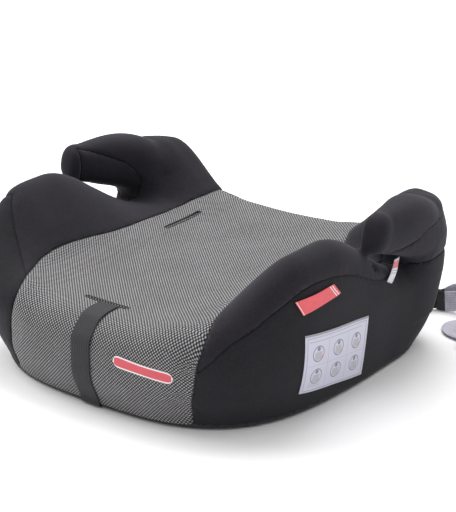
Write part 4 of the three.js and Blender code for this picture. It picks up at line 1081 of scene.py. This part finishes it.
whole = curve_through(ANCHOR_ROUTE + STRAP_ROUTE[1:], 2.5)
begin = step_lengths(curve_through(ANCHOR_ROUTE, 2.5)).sum() / step_lengths(whole).sum()
whole, across, through = standing(whole, begin + 0.5 * (1 - begin), begin + 0.82 * (1 - begin))
strap = tape("positioning_strap_webbing", whole, across, through, STRAP_WIDTH, 1.5, PALE_WEB)
back, back_across, back_through = standing(curve_through(RETURN_ROUTE, 2.5), 2, 3)
second = tape("positioning_strap_second_layer", back, back_across, back_through, STRAP_WIDTH, 1.5, PALE_WEB)
for layer, middle_line in ((strap, whole), (second, back)):
    layer.data.materials.append(BLACK_WEB)
    for face in layer.data.polygons:
        if middle_line[min(face.index // SECTION_POINTS, len(middle_line) - 1), 0] < BLACK_UP_TO_X:
            face.material_index = 1
finish_piece(strap, "pale_webbing", "rear_anchor_strap", "positioning_strap")
finish_piece(second, "pale_webbing", "positioning_strap_return")


# ---- pieces kept from the CAD
def dress(name, mat, width, segments=3):
    """Gives a CAD piece its material and softens its edges."""
    cad = NODES[name]
    cad.data.materials.clear()
    cad.data.materials.append(mat)
    if width:
        modify(cad, "BEVEL", width=width * MM, segments=segments, limit_method="ANGLE",
               angle_limit=math.radians(35))


for mat, width, names in (
        (KEEPER, 0.5, ["strap_keeper"]), (CLIP_RED, 0.6, ["belt_clip_body", "belt_clip_gate"]),
        (SHELL, 0.0, ["base_shell", "armrest_core_right", "armrest_core_left"]),
        (PLATED, 0.3, ["front_strap_upper_bar", "front_strap_lower_bar", "rear_anchor_pin"]),
        (PLATED, 0.2, ["belt_clip_pin"])):
    for name in names:
        dress(name, mat, width)
for name in NODES:
    if name.startswith(("foot_", "armrest_screw")):
        dress(name, RUBBER if name.startswith("foot_") else PLATED, 0.3, 2)

# ---- foam pad under the seat panel
def foam_pad():
    """A block whose top follows the form below the mesh panel."""
    n, m, inset = 26, 38, 1.0
    low, high = [np.array(v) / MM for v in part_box("seat_foam")]
    xs, ys = [np.linspace(low[k] + inset, high[k] - inset, count) for k, count in ((0, n), (1, m))]
    points = [(x, y, 0 if layer else low[2] + 0.3) for layer in (0, 1) for y in ys for x in xs]
    faces = []
    points = np.array(points)
    tops = slice(n * m, None)
    points[tops, 2] = 96
    points[tops] = settle(points[tops], -4.2, 8)
    points[tops, 0], points[tops, 1] = points[:n * m, 0], points[:n * m, 1]
    points[tops, 2] = np.maximum(points[tops, 2], low[2] + 3)
    for a, b, c, d in grid_faces(n - 1, m - 1):
        faces.append((a, d, c, b))
        faces.append((a + n * m, b + n * m, c + n * m, d + n * m))
    rim_ids = [*range(0, n), *[j * n + n - 1 for j in range(1, m)],
               *[(m - 1) * n + i for i in range(n - 2, -1, -1)],
               *[j * n for j in range(m - 2, 0, -1)]]
    for a, b in zip(rim_ids, rim_ids[1:] + rim_ids[:1]):
        faces.append((a, b, b + n * m, a + n * m))
    obj = new_object("seat_foam_pad", points, faces, FOAM)
    modify(obj, "BEVEL", width=2.5 * MM, segments=3, limit_method="ANGLE")
    finish_piece(obj, "foam", "seat_foam")


foam_pad()

# ---- floor and light
floor_mat, tree, bsdf = material("studio_floor", {"Roughness": 0.9})
speck = node(tree, "TexNoise", {"Scale": 3.0, "Detail": 2.0}).outputs["Fac"]
feed(bsdf, "Base Color", ramp(tree, speck, [(0.3, (0.93, 0.93, 0.935)), (0.7, (0.96, 0.96, 0.965))]))
FLOOR_HALF = 9000
floor_corners = [(x * FLOOR_HALF, y * FLOOR_HALF, 0) for x, y in ((-1, -1), (1, -1), (1, 1), (-1, 1))]
floor = new_object("studio_floor", floor_corners, [(0, 1, 2, 3)], floor_mat, False)
floor.location.z = -0.0002

world = bpy.data.worlds.new("studio")
bpy.context.scene.world = world
world.use_nodes = True
tree = world.node_tree
sky = tree.nodes["Background"]
seen = node(tree, "LightPath").outputs["Is Camera Ray"]
upward = split_xyz(tree, node(tree, "TexCoord").outputs["Generated"])[2]
glow = maths(tree, "MULTIPLY_ADD", maths(tree, "MAXIMUM", upward, 0.0), 0.95, 0.28)
feed(sky, 0, (1, 1, 1))
feed(sky, 1, maths(tree, "MAXIMUM", glow, seen))


LIT_POINT = Vector((0, 0, 0.05))
for name, at, size, power in (("key", (-1.7, -0.5, 2.1), 1.5, 28), ("top", (-0.4, 1.0, 2.6), 1.8, 44)):
    data = bpy.data.lights.new(name, "AREA")
    data.shape, data.size, data.energy = "DISK", size, power
    aimed(name, data, at, LIT_POINT - Vector(at))
bpy.context.scene.view_settings.view_transform = "Standard"
